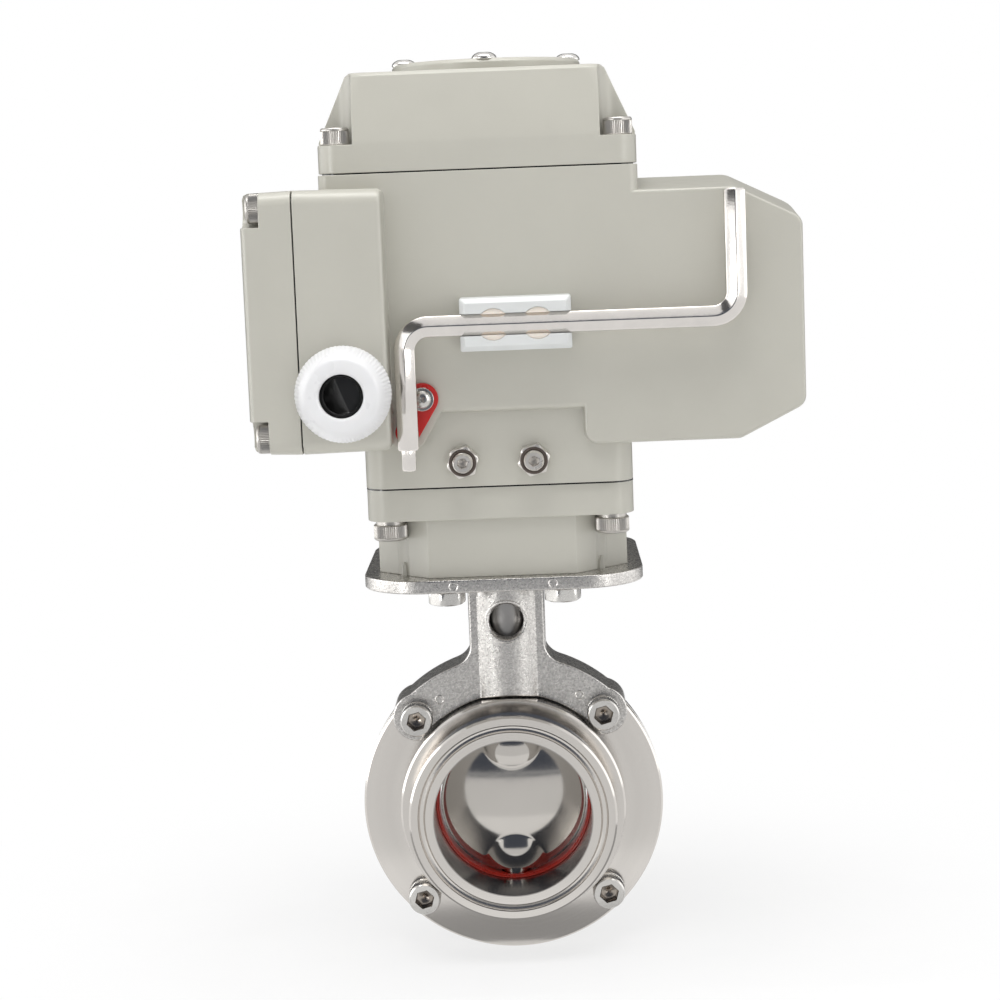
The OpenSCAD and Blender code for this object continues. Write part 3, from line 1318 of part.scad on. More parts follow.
// Hexagon bar along X
module hexbar_x(x0, x1, z, c)
    translate([x0, 0, z]) rotate([0, 90, 0]) rotate(90) cylinder(r = c, h = x1 - x0, $fn = 6);

// Hexagon bar along Z
module hexbar_z(x, z0, z1, c) translate([x, 0, z0]) rotate(90) cylinder(r = c, h = z1 - z0, $fn = 6);

// Quarter bend of the hexagon bar, starting at the given angle
module hex_bend(start, c) rotate([90, 0, 0]) rotate(start) rotate_extrude(angle = 90)
    translate([crank_bend, 0]) rotate(90) circle(r = c, $fn = 6);

// Red cover flap over the key hole
module manual_flap() color("crimson")
    translate([0, -panel_y - air_gap, 0]) along_y() linear_extrude(flap_t) difference() {
        flap_plan(0);
        translate(flap_c) circle(r = flap_screw_r + 2 * run_gap);
    }

// Pan head screw with a washer that holds the flap
module flap_screw() color("silver")
    translate([flap_c[0], -panel_y - 2 * air_gap - flap_t, flap_c[1]]) along_y() {
        cylinder(r = flap_washer_r, h = flap_washer_t);
        translate([0, 0, flap_washer_t])
            cylinder(r1 = flap_head_r, r2 = flap_screw_r, h = flap_head_h);
        translate([0, 0, -pad_depth + overcut]) cylinder(r = flap_screw_r, h = pad_depth);
    }

valve_body_front();
valve_body_rear();
valve_seat();
valve_disc();
valve_stem();
stem_bush();
body_bolts();
body_nuts();
yoke();
yoke_bolts();
drive_coupling();
base_housing();
base_screws();
shaft_bush();
main_housing();
top_cover();
cover_gasket();
cover_screws();
sight_window();
window_bezel();
window_screws();
position_indicator();
terminal_cover();
terminal_gasket();
terminal_screws();
terminal_block();
gland_body();
gland_nut();
gland_seal();
output_shaft();
stop_cam();
worm_wheel();
shaft_circlip();
worm_shaft();
worm_gear();
worm_front_bush();
worm_rear_bush();
idler_gear_1();
idler_gear_2();
idler_pins();
train_plate();
train_screws();
gearmotor();
motor_screws();
motor_pinion();
bearing_shelf();
shelf_screws();
limit_cams();
limit_switches();
switch_bracket();
run_capacitor();
stop_bolts();
stop_nuts();
tool_clip();
crank_key();
manual_flap();
flap_screw();
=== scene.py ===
"""Looks of a motorised butterfly valve: finishes, soft edges and detailed hardware."""

from math import cos, hypot, pi, radians, sin, sqrt

import bmesh
import bpy
from mathutils import Matrix, Vector


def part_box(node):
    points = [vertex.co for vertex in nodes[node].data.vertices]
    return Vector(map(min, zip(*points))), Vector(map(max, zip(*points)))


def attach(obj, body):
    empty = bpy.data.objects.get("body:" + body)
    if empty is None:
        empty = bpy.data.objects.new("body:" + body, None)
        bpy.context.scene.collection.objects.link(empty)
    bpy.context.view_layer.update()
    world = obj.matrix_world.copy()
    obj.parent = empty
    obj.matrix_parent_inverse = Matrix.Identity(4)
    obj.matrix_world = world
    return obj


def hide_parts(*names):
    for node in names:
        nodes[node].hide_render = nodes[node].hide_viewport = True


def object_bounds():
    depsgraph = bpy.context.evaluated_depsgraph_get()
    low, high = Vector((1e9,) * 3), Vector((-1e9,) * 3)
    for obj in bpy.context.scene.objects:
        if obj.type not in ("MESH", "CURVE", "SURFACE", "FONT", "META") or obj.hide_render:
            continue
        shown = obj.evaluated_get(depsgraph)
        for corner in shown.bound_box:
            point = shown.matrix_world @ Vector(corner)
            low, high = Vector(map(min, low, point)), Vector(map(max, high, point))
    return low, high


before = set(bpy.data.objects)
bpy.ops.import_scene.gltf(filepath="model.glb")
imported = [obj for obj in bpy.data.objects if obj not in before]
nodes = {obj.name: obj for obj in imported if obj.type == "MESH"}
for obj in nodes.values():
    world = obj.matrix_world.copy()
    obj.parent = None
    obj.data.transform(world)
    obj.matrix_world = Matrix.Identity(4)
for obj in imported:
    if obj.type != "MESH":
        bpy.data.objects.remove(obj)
cad_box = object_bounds()
MM = 0.001
AS_IS = Matrix.Identity(4)
UP = (0, 0, 1)
DOWN = (0, 0, -1)
LEFT = (-1, 0, 0)
TO_FRONT = (0, -1, 0)
TO_BACK = (0, 1, 0)


# Camera, fitted to the photograph

LENS = 85
SENSOR_WIDTH = 36
CAMERA_AT = Vector((11.996, -728.694, 191.252)) * MM
CAMERA_YAW = radians(1.0)
CAMERA_PITCH = radians(-7.5)
CAMERA_ROLL = radians(-2.2)
NEAREST = 0.01
FARTHEST = 20


def place_camera():
    """Camera at the place and turn that the photograph was taken from."""
    data = bpy.data.cameras.new("camera")
    data.lens = LENS
    data.sensor_width = SENSOR_WIDTH
    data.sensor_fit = "HORIZONTAL"
    data.clip_start = NEAREST
    data.clip_end = FARTHEST
    camera = bpy.data.objects.new("camera", data)
    turn = Matrix.Rotation(CAMERA_YAW, 4, "Z") @ Matrix.Rotation(pi / 2 + CAMERA_PITCH, 4, "X")
    camera.matrix_world = Matrix.Translation(CAMERA_AT) @ turn @ Matrix.Rotation(CAMERA_ROLL, 4, "Z")
    bpy.context.scene.collection.objects.link(camera)
    bpy.context.scene.camera = camera


place_camera()


# Materials

def srgb(red, green, blue):
    """Linear colour of an sRGB triple from 0 to 255."""
    def linear(channel):
        share = channel / 255
        return share / 12.92 if share <= 0.04045 else ((share + 0.055) / 1.055) ** 2.4
    return (linear(red), linear(green), linear(blue), 1)


def shade(colour, factor):
    """A colour made darker or lighter by a factor."""
    return tuple(channel * factor for channel in colour[:3]) + (1,)


NOISE_LOW = 0.3
NOISE_HIGH = 0.7


class Surface:
    """A material under construction: one principled shader and the textures that drive it."""

    def __init__(self, name, metallic=0.0, **constants):
        self.material = bpy.data.materials.new(name)
        self.material.use_nodes = True
        self.tree = self.material.node_tree
        self.shader = self.tree.nodes["Principled BSDF"]
        self.shader.inputs["Metallic"].default_value = metallic
        for socket, value in constants.items():
            self.shader.inputs[socket.replace("_", " ")].default_value = value
        self.where = self.tree.nodes.new("ShaderNodeTexCoord").outputs["Object"]

    def node(self, kind, inputs=None, **settings):
        """New node with its settings, and its inputs linked or set to constants."""
        made = self.tree.nodes.new(kind)
        for key, value in settings.items():
            setattr(made, key, value)
        for key, value in (inputs or {}).items():
            if isinstance(value, bpy.types.NodeSocket):
                self.tree.links.new(value, made.inputs[key])
            else:
                made.inputs[key].default_value = value
        return made

    def noise(self, scale, detail=3.0, rough=0.55, where=None):
        """Noise between 0 and 1, in the object's own metres unless told where."""
        made = self.node("ShaderNodeTexNoise", {"Scale": scale, "Detail": detail, "Roughness": rough})
        self.tree.links.new(where or self.where, made.inputs["Vector"])
        return made.outputs["Fac"]

    def spread(self, noise, low, high):
        """Noise mapped from its middle range onto low to high."""
        return self.node("ShaderNodeMapRange", {
            "Value": noise, "From Min": NOISE_LOW, "From Max": NOISE_HIGH, "To Min": low, "To Max": high,
        }).outputs["Result"]

    def tone(self, noise, dark, light):
        """Noise mapped from its middle range onto two tones."""
        ramp = self.node("ShaderNodeValToRGB", {"Fac": noise})
        first, last = ramp.color_ramp.elements
        first.position = NOISE_LOW
        first.color = dark
        last.position = NOISE_HIGH
        last.color = light
        return ramp.outputs["Color"]

    def colour(self, socket):
        self.tree.links.new(socket, self.shader.inputs["Base Color"])

    def roughness(self, socket):
        self.tree.links.new(socket, self.shader.inputs["Roughness"])

    def bump(self, heights):
        """Bumps laid over each other: pairs of height socket and depth in metres."""
        last = None
        for height, depth in heights:
            made = self.node("ShaderNodeBump", {"Height": height, "Strength": 1.0, "Distance": depth})
            if last:
                self.tree.links.new(last, made.inputs["Normal"])
            last = made.outputs["Normal"]
        self.tree.links.new(last, self.shader.inputs["Normal"])

    def show(self, socket):
        """Send another shader than the principled one to the output."""
        self.tree.links.new(socket, self.tree.nodes["Material Output"].inputs["Surface"])


def plain_surface(name, colour, rough, grain, metallic=0.0, vary=0.06, depth=0.01 * MM, **constants):
    """Finish with a cloudy tone, an uneven gloss and a fine grain of the given scale."""
    made = Surface(name, metallic, **constants)
    cloud = made.noise(grain / 12)
    gloss = made.noise(grain / 5)
    made.colour(made.tone(cloud, shade(colour, 1 - vary), shade(colour, 1 + vary)))
    made.roughness(made.spread(gloss, rough * 0.85, rough * 1.15))
    made.bump([(made.noise(grain), depth)])
    return made.material


def paint_surface():
    """Satin grey paint on a die casting, with a fine orange peel."""
    grey = srgb(188, 186, 176)
    made = Surface("housing_paint", Specular_IOR_Level=0.5)
    made.colour(made.tone(made.noise(35, 4), shade(grey, 0.975), shade(grey, 1.02)))
    made.roughness(made.spread(made.noise(220), 0.3, 0.38))
    made.bump([(made.noise(650, 2), 0.01 * MM), (made.noise(120, 2), 0.02 * MM)])
    return made.material


# Radius of the polished bore, whose colour is also painted darker as shade inside the pipe
POLISHED_BORE = 24.6 * MM


def turned_surface():
    """Lathe-turned stainless steel: fine rings round the pipe axis outside, a polished bore inside, its
    colour painted darker as shade inside the pipe.
    """
    made = Surface("stainless_turned", 1.0, Anisotropic=0.6, Anisotropic_Rotation=0.25)
    steel = (0.67, 0.64, 0.605, 1)
    split = made.node("ShaderNodeSeparateXYZ", {"Vector": made.where})
    flat = made.node("ShaderNodeCombineXYZ", {"X": split.outputs["X"], "Y": split.outputs["Z"]})
    length = made.node("ShaderNodeVectorMath", {"Vector": flat.outputs["Vector"]}, operation="LENGTH")
    radius = length.outputs["Value"]
    rings = made.node("ShaderNodeCombineXYZ", {"X": radius, "Y": split.outputs["Y"]}).outputs["Vector"]
    lines = made.noise(2200, 2, where=rings)
    limit = made.node("ShaderNodeMath", {0: radius, 1: POLISHED_BORE}, operation="GREATER_THAN")
    outside = limit.outputs[0]
    cloud = made.tone(made.noise(60, 3, where=rings), shade(steel, 0.95), shade(steel, 1.04))
    # Inside the bore the steel is darkened to 0.62 of its colour: painted shade inside the pipe
    tones_with_bore_shade = {0: outside, 6: shade(steel, 0.62), 7: cloud}
    made.colour(made.node("ShaderNodeMix", tones_with_bore_shade, data_type="RGBA").outputs[2])
    gloss = {"Factor": outside, "A": made.spread(lines, 0.15, 0.2), "B": made.spread(lines, 0.13, 0.2)}
    made.roughness(made.node("ShaderNodeMix", gloss, data_type="FLOAT").outputs["Result"])
    made.bump([(lines, 0.002 * MM)])
    tangent = made.node("ShaderNodeTangent", direction_type="RADIAL", axis="Y")
    made.tree.links.new(tangent.outputs["Tangent"], made.shader.inputs["Tangent"])
    return made.material


def cast_surface():
    """Blasted investment casting: speckled stainless steel."""
    made = Surface("stainless_cast", 1.0)
    steel = (0.64, 0.62, 0.595, 1)
    speck = made.noise(1500, 4, 0.7)
    made.colour(made.tone(speck, shade(steel, 0.6), shade(steel, 1.26)))
    made.roughness(made.spread(made.noise(900), 0.22, 0.36))
    made.bump([(speck, 0.05 * MM), (made.noise(380, 3), 0.04 * MM)])
    return made.material


def polished_surface():
    """Mirror-polished stainless steel of the disc."""
    made = Surface("disc_polish", 1.0)
    steel = (0.56, 0.535, 0.5, 1)
    made.colour(made.tone(made.noise(40), shade(steel, 0.97), shade(steel, 1.03)))
    made.roughness(made.spread(made.noise(300), 0.09, 0.13))
    made.bump([(made.noise(90, 2), 0.004 * MM)])
    return made.material


def window_surface():
    """Clear moulded window."""
    made = Surface("window_clear", Transmission_Weight=1.0, IOR=1.49)
    clear = (0.93, 0.96, 0.95, 1)
    made.colour(made.tone(made.noise(60), shade(clear, 0.98), clear))
    made.roughness(made.spread(made.noise(200), 0.02, 0.05))
    made.bump([(made.noise(70, 2), 0.003 * MM)])
    return made.material


# Plain finishes by name; a metal is wholly metallic unless its recipe says otherwise

METALS = {
    "fastener_steel": dict(colour=(0.64, 0.625, 0.6, 1), rough=0.25, grain=1400, vary=0.08),
    "knurled_steel": dict(colour=(0.5, 0.48, 0.45, 1), rough=0.34, grain=1200, vary=0.1, metallic=0.8),
    "satin_steel": dict(colour=(0.7, 0.67, 0.63, 1), rough=0.3, grain=1200, vary=0.1, metallic=0.72),
    # socket linings: dark for oil and as painted shade inside the sockets
    "socket_oil_and_shade": dict(colour=(0.36, 0.32, 0.28, 1), rough=0.22, grain=900, vary=0.25, depth=0.02 * MM),
    "crank_plate": dict(colour=(0.8, 0.765, 0.73, 1), rough=0.14, grain=1100, vary=0.05, depth=0.012 * MM),
    "shaft_steel": dict(colour=(0.36, 0.35, 0.34, 1), rough=0.38, grain=900, vary=0.2, depth=0.04 * MM),
    "plate_steel": dict(colour=(0.62, 0.63, 0.64, 1), rough=0.35, grain=900, vary=0.1),
    "bearing_bronze": dict(colour=(0.6, 0.38, 0.16, 1), rough=0.33, grain=1000, vary=0.1),
    "motor_case": dict(colour=(0.2, 0.21, 0.22, 1), rough=0.42, grain=600, metallic=0.6),
}
PLASTICS = {
    "seat_silicone": dict(
        colour=srgb(168, 38, 24), rough=0.3, grain=500, vary=0.1,
        Subsurface_Weight=0.1, Subsurface_Radius=(0.004, 0.001, 0.0005)),
    "seal_rubber": dict(colour=(0.02, 0.02, 0.02, 1), rough=0.12, grain=700, vary=0.2),
    # dark ring in each stop nut's thread gap: painted shade
    "thread_gap_shade": dict(
        colour=(0.13, 0.105, 0.09, 1), rough=0.3, grain=900, vary=0.3, depth=0.03 * MM, metallic=0.5),
    "bush_plastic": dict(colour=(0.78, 0.75, 0.66, 1), rough=0.4, grain=600),
    "clip_plastic": dict(
        colour=srgb(214, 216, 215), rough=0.4, grain=600, vary=0.03,
        Subsurface_Weight=0.1, Subsurface_Radius=(0.002, 0.002, 0.002)),
    # clip pips: cream as a painted warm reflection in the clip's reliefs
    "clip_warm_reflection": dict(
        colour=srgb(234, 225, 214), rough=0.35, grain=600, vary=0.02,
        Subsurface_Weight=0.3, Subsurface_Radius=(0.003, 0.0025, 0.002)),
    "gland_nylon": dict(
        colour=srgb(230, 230, 231), rough=0.3, grain=450, vary=0.03,
        Subsurface_Weight=0.3, Subsurface_Radius=(0.003, 0.003, 0.0032)),
    "flap_red": dict(colour=srgb(190, 20, 14), rough=0.3, grain=700, vary=0.07),
    "indicator_orange": dict(colour=srgb(232, 108, 20), rough=0.38, grain=500),
    "switch_black": dict(colour=(0.02, 0.02, 0.022, 1), rough=0.45, grain=600, vary=0.2),
    "terminal_green": dict(colour=srgb(48, 120, 62), rough=0.42, grain=600),
    "capacitor_film": dict(colour=(0.8, 0.8, 0.76, 1), rough=0.3, grain=500),
}
MATERIALS = {
    "housing_paint": paint_surface(),
    "stainless_turned": turned_surface(),
    "stainless_cast": cast_surface(),
    "disc_polish": polished_surface(),
    "window_clear": window_surface(),
}
for finish_name, recipe in METALS.items():
    MATERIALS[finish_name] = plain_surface(finish_name, **{"metallic": 1.0, **recipe})
for finish_name, recipe in PLASTICS.items():
    MATERIALS[finish_name] = plain_surface(finish_name, **recipe)


# Finish of the parts that keep their own solids

CRISP_ANGLE = radians(40)
ROUNDED_ANGLE = radians(30)
FLAT_ANGLE = radians(0.3)
WELD_REACH = 0.002 * MM
CASTING_EDGE = 0.25 * MM
YOKE_EDGE = 0.5 * MM
CLIP_EDGE = 0.25 * MM
FLAP_EDGE = 0.2 * MM


def smoothing_group(limit):
    """Geometry nodes that shade faces smooth and keep edges sharper than the limit crisp."""
    group = bpy.data.node_groups.new("smooth_by_angle", "GeometryNodeTree")
    group.interface.new_socket("Geometry", in_out="INPUT", socket_type="NodeSocketGeometry")
    group.interface.new_socket("Geometry", in_out="OUTPUT", socket_type="NodeSocketGeometry")
    enter = group.nodes.new("NodeGroupInput")
    leave = group.nodes.new("NodeGroupOutput")
    faces = group.nodes.new("GeometryNodeSetShadeSmooth")
    edges = group.nodes.new("GeometryNodeSetShadeSmooth")
    edges.domain = "EDGE"
    edges.inputs["Shade Smooth"].default_value = False
    angle = group.nodes.new("GeometryNodeInputMeshEdgeAngle")
    sharp = group.nodes.new("FunctionNodeCompare")
    sharp.operation = "GREATER_THAN"
    sharp.inputs[1].default_value = limit
    group.links.new(enter.outputs[0], faces.inputs["Geometry"])
    group.links.new(faces.outputs["Geometry"], edges.inputs["Geometry"])
    group.links.new(angle.outputs["Unsigned Angle"], sharp.inputs[0])
    group.links.new(sharp.outputs["Result"], edges.inputs["Selection"])
    group.links.new(edges.outputs["Geometry"], leave.inputs[0])
    return group


SMOOTH = smoothing_group(CRISP_ANGLE)


def soften(name, width, segments=3):
    """Round a part's sharp edges by modifiers, without touching its mesh."""
    part = nodes[name]
    weld = part.modifiers.new("weld", "WELD")
    weld.merge_threshold = WELD_REACH
    flat = part.modifiers.new("flat", "DECIMATE")
    flat.decimate_type = "DISSOLVE"
    flat.angle_limit = FLAT_ANGLE
    bevel = part.modifiers.new("bevel", "BEVEL")
    bevel.width = width
    bevel.segments = segments
    bevel.limit_method = "ANGLE"
    bevel.angle_limit = ROUNDED_ANGLE
    bevel.use_clamp_overlap = False
    smooth = part.modifiers.new("smooth", "NODES")
    smooth.node_group = SMOOTH
    normal = part.modifiers.new("normal", "WEIGHTED_NORMAL")
    normal.keep_sharp = True


def finish_parts():
    """Give every part the finish of its record slot."""
    for part in nodes.values():
        slot = part.data.materials[0].name
        part.material_slots[0].link = "OBJECT"
        part.material_slots[0].material = MATERIALS[slot]


finish_parts()
for casting in ("main_housing", "top_cover", "terminal_cover", "base_housing", "window_bezel"):
    soften(casting, CASTING_EDGE)
soften("yoke", YOKE_EDGE, 4)
soften("tool_clip", CLIP_EDGE)
soften("manual_flap", FLAP_EDGE)


# Tools for detailed pieces, built as skins between rings of points

RING_COUNT = 72


class Shape:
    """Points and faces of one piece, gathered from several skins."""

    def __init__(self):
        self.points = []
        self.faces = []

    def skin(self, rings, place=AS_IS, closed=True):
        """Quads between rings of equal count, with the end rings filled when closed."""
        count = len(rings[0])
        start = len(self.points)
        for points in rings:
            self.points += [place @ Vector(point) for point in points]
        for level in range(len(rings) - 1):
            low = start + level * count
            for i in range(count):
                j = (i + 1) % count
                self.faces.append((low + i, low + j, low + count + j, low + count + i))
        if closed:
            last = start + (len(rings) - 1) * count
            self.faces.append(tuple(start + i for i in reversed(range(count))))
            self.faces.append(tuple(last + i for i in range(count)))

    def piece(self, name, body, slot, material, replaced=(), crisp=35):
        """The finished object: crisp above the given angle, riding a body in place of CAD nodes."""
        mesh = bpy.data.meshes.new(name)
        mesh.from_pydata(self.points, [], self.faces)
        made = bmesh.new()
        made.from_mesh(mesh)
        bmesh.ops.recalc_face_normals(made, faces=made.faces)
        for face in made.faces:
            face.smooth = True
        for edge in made.edges:
            edge.smooth = edge.calc_face_angle(0) < radians(crisp)
        made.to_mesh(mesh)
        made.free()
        piece = bpy.data.objects.new(name, mesh)
        bpy.context.scene.collection.objects.link(piece)
        mesh.materials.append(MATERIALS[material])
        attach(piece, body)
        if replaced:
            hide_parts(*replaced)


def ring(radius, height, count=RING_COUNT):
    """Ring of points round Z; the radius is a number or a function of the angle."""
    points = []
    for i in range(count):
        angle = 2 * pi * i / count
        reach = radius(angle) if callable(radius) else radius
        points.append((reach * cos(angle), reach * sin(angle), height))
    return points


def turned(profile, count=RING_COUNT):
    """Rings round Z for a profile of radius and height pairs."""
    return [ring(radius, height, count) for radius, height in profile]


def revolve(shape, profile, place, count):
    """Skin of a closed profile of radius and height pairs round an axis."""
    rings = turned(profile, count)
    shape.skin(rings + rings[:1], place, closed=False)


def in_mm(profile, height=0.0):
    """Profile given in millimetres, moved up to a height in metres."""
    return [(radius * MM, height + level * MM) for radius, level in profile]


def rounded(profile, reach, steps=4):
    """A closed profile with its corners rounded by the given reach."""
    smooth = []
    for i, corner in enumerate(profile):
        here = Vector(corner)
        before = Vector(profile[i - 1]) - here
        after = Vector(profile[(i + 1) % len(profile)]) - here
        start = here + before.normalized() * min(reach, before.length * 0.45)
        end = here + after.normalized() * min(reach, after.length * 0.45)
        for step in range(steps + 1):
            t = step / steps
            smooth.append(start * (1 - t) ** 2 + here * 2 * t * (1 - t) + end * t * t)
    return [tuple(point) for point in smooth]


def islands(name):
    """Lowest and highest corners of each separate solid in a CAD node."""
    made = bmesh.new()
    made.from_mesh(nodes[name].data)
    bmesh.ops.remove_doubles(made, verts=made.verts, dist=WELD_REACH)
    made.verts.ensure_lookup_table()
    boxes = []
    seen = set()
    for first in made.verts:
        if first.index in seen:
            continue
        seen.add(first.index)
        todo = [first]
        solid = []
        while todo:
            here = todo.pop()
            solid.append(here.co.copy())
            for edge in here.link_edges:
                other = edge.other_vert(here)
                if other.index not in seen:
                    seen.add(other.index)
                    todo.append(other)
        boxes.append(tuple(Vector(pick(p[k] for p in solid) for k in range(3)) for pick in (min, max)))
    made.free()
    return boxes


def along(box, axis):
    """Frame whose Z runs along the axis from the far end of a box, with the box's length and width."""
    low, high = box
    axis = Vector(axis)
    middle = (low + high) / 2
    length = abs((high - low).dot(axis))
    across = axis.orthogonal().normalized()
    width = max((high - low)[k] for k in range(3) if abs(axis[k]) < 0.5)
    turn = Matrix((across, axis.cross(across), axis)).transposed().to_4x4()
    return Matrix.Translation(middle - axis * length / 2) @ turn, length, width


# Radius functions: each gives the reach of an outline by angle

def scaled(outline, share):
    """An outline made larger or smaller."""
    return lambda angle: outline(angle) * share


def hexagon(flats):
    """Hexagon of a width across flats."""
    def radius(angle):
        return flats / 2 / cos((angle + pi / 6) % (pi / 3) - pi / 6)
    return radius


def chamfered(flats, share):
    """Hexagon whose corners are turned down to a circle, a share of the corners' own reach."""
    side = hexagon(flats)
    limit = flats / sqrt(3) * share
    return lambda angle: min(side(angle), limit)


KNURL_TEETH = 48


def fluted(radius, depth):
    """Straight knurl on a ring with two points to a tooth: every second point lies deeper."""
    return lambda angle: radius - depth * (round(angle / pi * KNURL_TEETH) % 2)


def cross(reach, half_width):
    """Cross recess."""
    def radius(angle):
        turn = (angle + pi / 4) % (pi / 2) - pi / 4
        if abs(sin(turn)) * reach <= half_width * cos(turn):
            return reach / cos(turn)
        return half_width / abs(sin(turn))
    return radius


# Fasteners

BASE_WASHER = 1.3 * MM
FLAT_WASHER = 1.5 * MM
SPRING_WASHER = 1.6 * MM
SPRING_GAP = 0.06
TERMINAL_SINK = 1.3 * MM
NUT_FLATS = 10 * MM
STOP_NUT_FLATS = 8.5 * MM
STOP_THREAD = 9 * MM
THREAD_RADIUS = 3.1 * MM
THREAD_PITCH = 1.0 * MM
NUT_THREAD_DEPTH = 0.35 * MM
STUD_THREAD_DEPTH = 0.5 * MM
LINING_GAP = 0.05 * MM
RECESSES = Shape()

# Radius and height of the pan heads and of the washer under one of them
WINDOW_HEAD = (3.7 * MM, 2.3 * MM)
FLAP_HEAD = (2.6 * MM, 1.6 * MM)
FLAP_WASHER = (3.4 * MM, 0.6 * MM)

# Lean of each ring on the dome of a pan head, in degrees
DOME_LEANS = range(5, 62, 8)


def thread(radius, depth, low, high, steps=6):
    """Rings of a true helical thread between two heights."""
    def groove(height):
        def reach(angle):
            phase = (height / THREAD_PITCH - angle / (2 * pi)) % 1
            return radius - depth * abs(2 * phase - 1)
        return reach
    count = max(2, round((high - low) / THREAD_PITCH * steps))
    heights = [low + (high - low) * i / count for i in range(count + 1)]
    return [ring(groove(height), height) for height in heights]


def line_recess(place, socket, top, depth, tip):
    """Dark lining of a hexagon socket, just inside its walls, with a drilled point below: dark for oil in
    the socket and as painted shade of the recess.
    """
    def lined(angle):
        return socket(angle) - LINING_GAP

    bottom = top - depth
    profile = [(lined, top), (lined, bottom), (tip, bottom), (0.1 * MM, bottom - tip / 2)]
    RECESSES.skin(turned(profile), place, closed=False)


def cap_screw(shape, box, axis, sunk=0.0, washer=0.0):
    """Socket head cap screw: knurled head with a chamfer, hexagon socket, plain shank and spring washer."""
    place, length, width = along(box, axis)
    top = length - sunk
    head = width / 2
    size = width * 3 / 5
    under = top - size
    seat = under + washer
    rise = top - seat
    socket = hexagon(size * 0.83)
    flutes = fluted(head, size * 0.045)
    shank = [(size * 0.42, 0), (size / 2, size * 0.1), (size / 2, under)]
    spring = [(head * 0.86, under), (head * 0.86, seat)]
    knurl = [
        (head * 0.95, seat), (head, seat + rise * 0.06), (flutes, seat + rise * 0.08),
        (flutes, seat + rise * 0.8), (head, seat + rise * 0.83),
    ]
    rim = [(head, seat + rise * 0.88), (head * 0.96, seat + rise * 0.96), (head * 0.9, top)]
    recess = [
        (scaled(socket, 1.1), top), (socket, top - size * 0.06), (socket, top - size * 0.56),
        (size * 0.06, top - size * 0.68),
    ]
    shape.skin(turned(shank + spring + knurl + rim + recess, 2 * KNURL_TEETH), place)
    line_recess(place, socket, top - size * 0.1, size * 0.42, size * 0.3)


def hex_bolt(shape, box, axis):
    """Hexagon bolt: flat washer, split spring washer and a head with turned-down corners."""
    place, length, width = along(box, axis)
    size = width / 2
    flats = size * 5 / 3
    side = hexagon(flats)
    edge = 0.2 * MM
    head_low = length - size * 0.7
    spring_low = head_low - SPRING_WASHER
    washer_low = spring_low - FLAT_WASHER

    def split(radius):
        return lambda angle: size * 0.6 if abs(angle - pi) < SPRING_GAP else radius

    shank = [(size * 0.42, 0), (size / 2, size * 0.1), (size / 2, washer_low)]
    washer = [
        (size - edge, washer_low), (size, washer_low + edge),
        (size, spring_low - edge), (size - edge, spring_low),
    ]
    spring = [
        (split(size * 0.82), spring_low), (split(size * 0.85), spring_low + edge),
        (split(size * 0.85), head_low - edge), (split(size * 0.82), head_low),
    ]
    head = [
        (flats * 0.48, head_low), (flats * 0.48, head_low + edge),
        (chamfered(flats, 0.96), head_low + 1.5 * edge), (side, head_low + 3 * edge),
        (side, length - size * 0.14), (chamfered(flats, 0.95), length - size * 0.06),
        (flats * 0.46, length), (flats * 0.1, length),
    ]
    shape.skin(turned(shank + washer + spring + head), place)


def hex_nut(shape, box, axis, flats):
    """Hexagon nut with both faces turned down and a threaded bore."""
    place, length, _ = along(box, axis)
    bevel = length * 0.1
    mouth = THREAD_RADIUS * 1.12
    face = flats * 0.485
    side = hexagon(flats)
    corner = chamfered(flats, 0.96)
    outer = turned([
        (mouth, 0), (face, 0), (corner, bevel * 0.5), (side, bevel * 1.4),
        (side, length - bevel * 1.4), (corner, length - bevel * 0.5), (face, length), (mouth, length),
    ])
    inner = thread(THREAD_RADIUS, NUT_THREAD_DEPTH, bevel, length - bevel)
    shape.skin(outer + inner[::-1] + outer[:1], place, closed=False)


def set_screw(shape, box, axis):
    """Threaded stud with a hexagon socket in its outer end."""
    place, length, width = along(box, axis)
    radius = width / 2
    core = radius * 0.9
    socket = hexagon(width * 0.44)
    threaded = length - STOP_THREAD
    stem = turned([(radius * 0.7, 0), (core, 0.6 * MM), (core, threaded)])
    end = turned([
        (radius * 0.84, length), (scaled(socket, 1.12), length), (socket, length - 0.3 * MM),
        (socket, length - 2.6 * MM), (0.2 * MM, length - 3.2 * MM),
    ])
    shape.skin(stem + thread(radius, STUD_THREAD_DEPTH, threaded, length - 0.7 * MM) + end, place)


def pan_screw(shape, box, axis, head, head_height, washer=None):
    """Pan head screw with a cross recess, and a washer of given radius and thickness below its head."""
    place, length, _ = along(box, axis)
    shank = head * 0.45
    seat = length - head_height
    rim = seat + head_height * 0.12
    profile = [(shank * 0.8, 0), (shank, shank * 0.3)]
    if washer:
        reach, thickness = washer
        under = seat - thickness
        profile += [
            (shank, under), (reach * 0.96, under), (reach, under + thickness * 0.2),
            (reach, seat - thickness * 0.2), (reach * 0.96, seat),
        ]
    else:
        profile += [(shank, seat)]
    profile += [(head * 0.97, seat), (head, rim)]
    for lean in map(radians, DOME_LEANS):
        profile.append((head * cos(lean), rim + (length - rim) * sin(lean)))
    arms = cross(head * 0.42, head * 0.11)
    profile += [
        (arms, length - head_height * 0.1), (scaled(arms, 0.72), length - head_height * 0.6),
        (head * 0.04, length - head_height * 0.8),
    ]
    shape.skin(turned(profile), place)


def fasteners(name, build, *sizes, finish="fastener_steel"):
    """One piece of detailed fasteners in place of a CAD node, a fastener for each of its solids."""
    shape = Shape()
    for box in islands(name):
        build(shape, box, *sizes)
    shape.piece(name + "_detail", "frame", "fastener_steel", finish, [name])


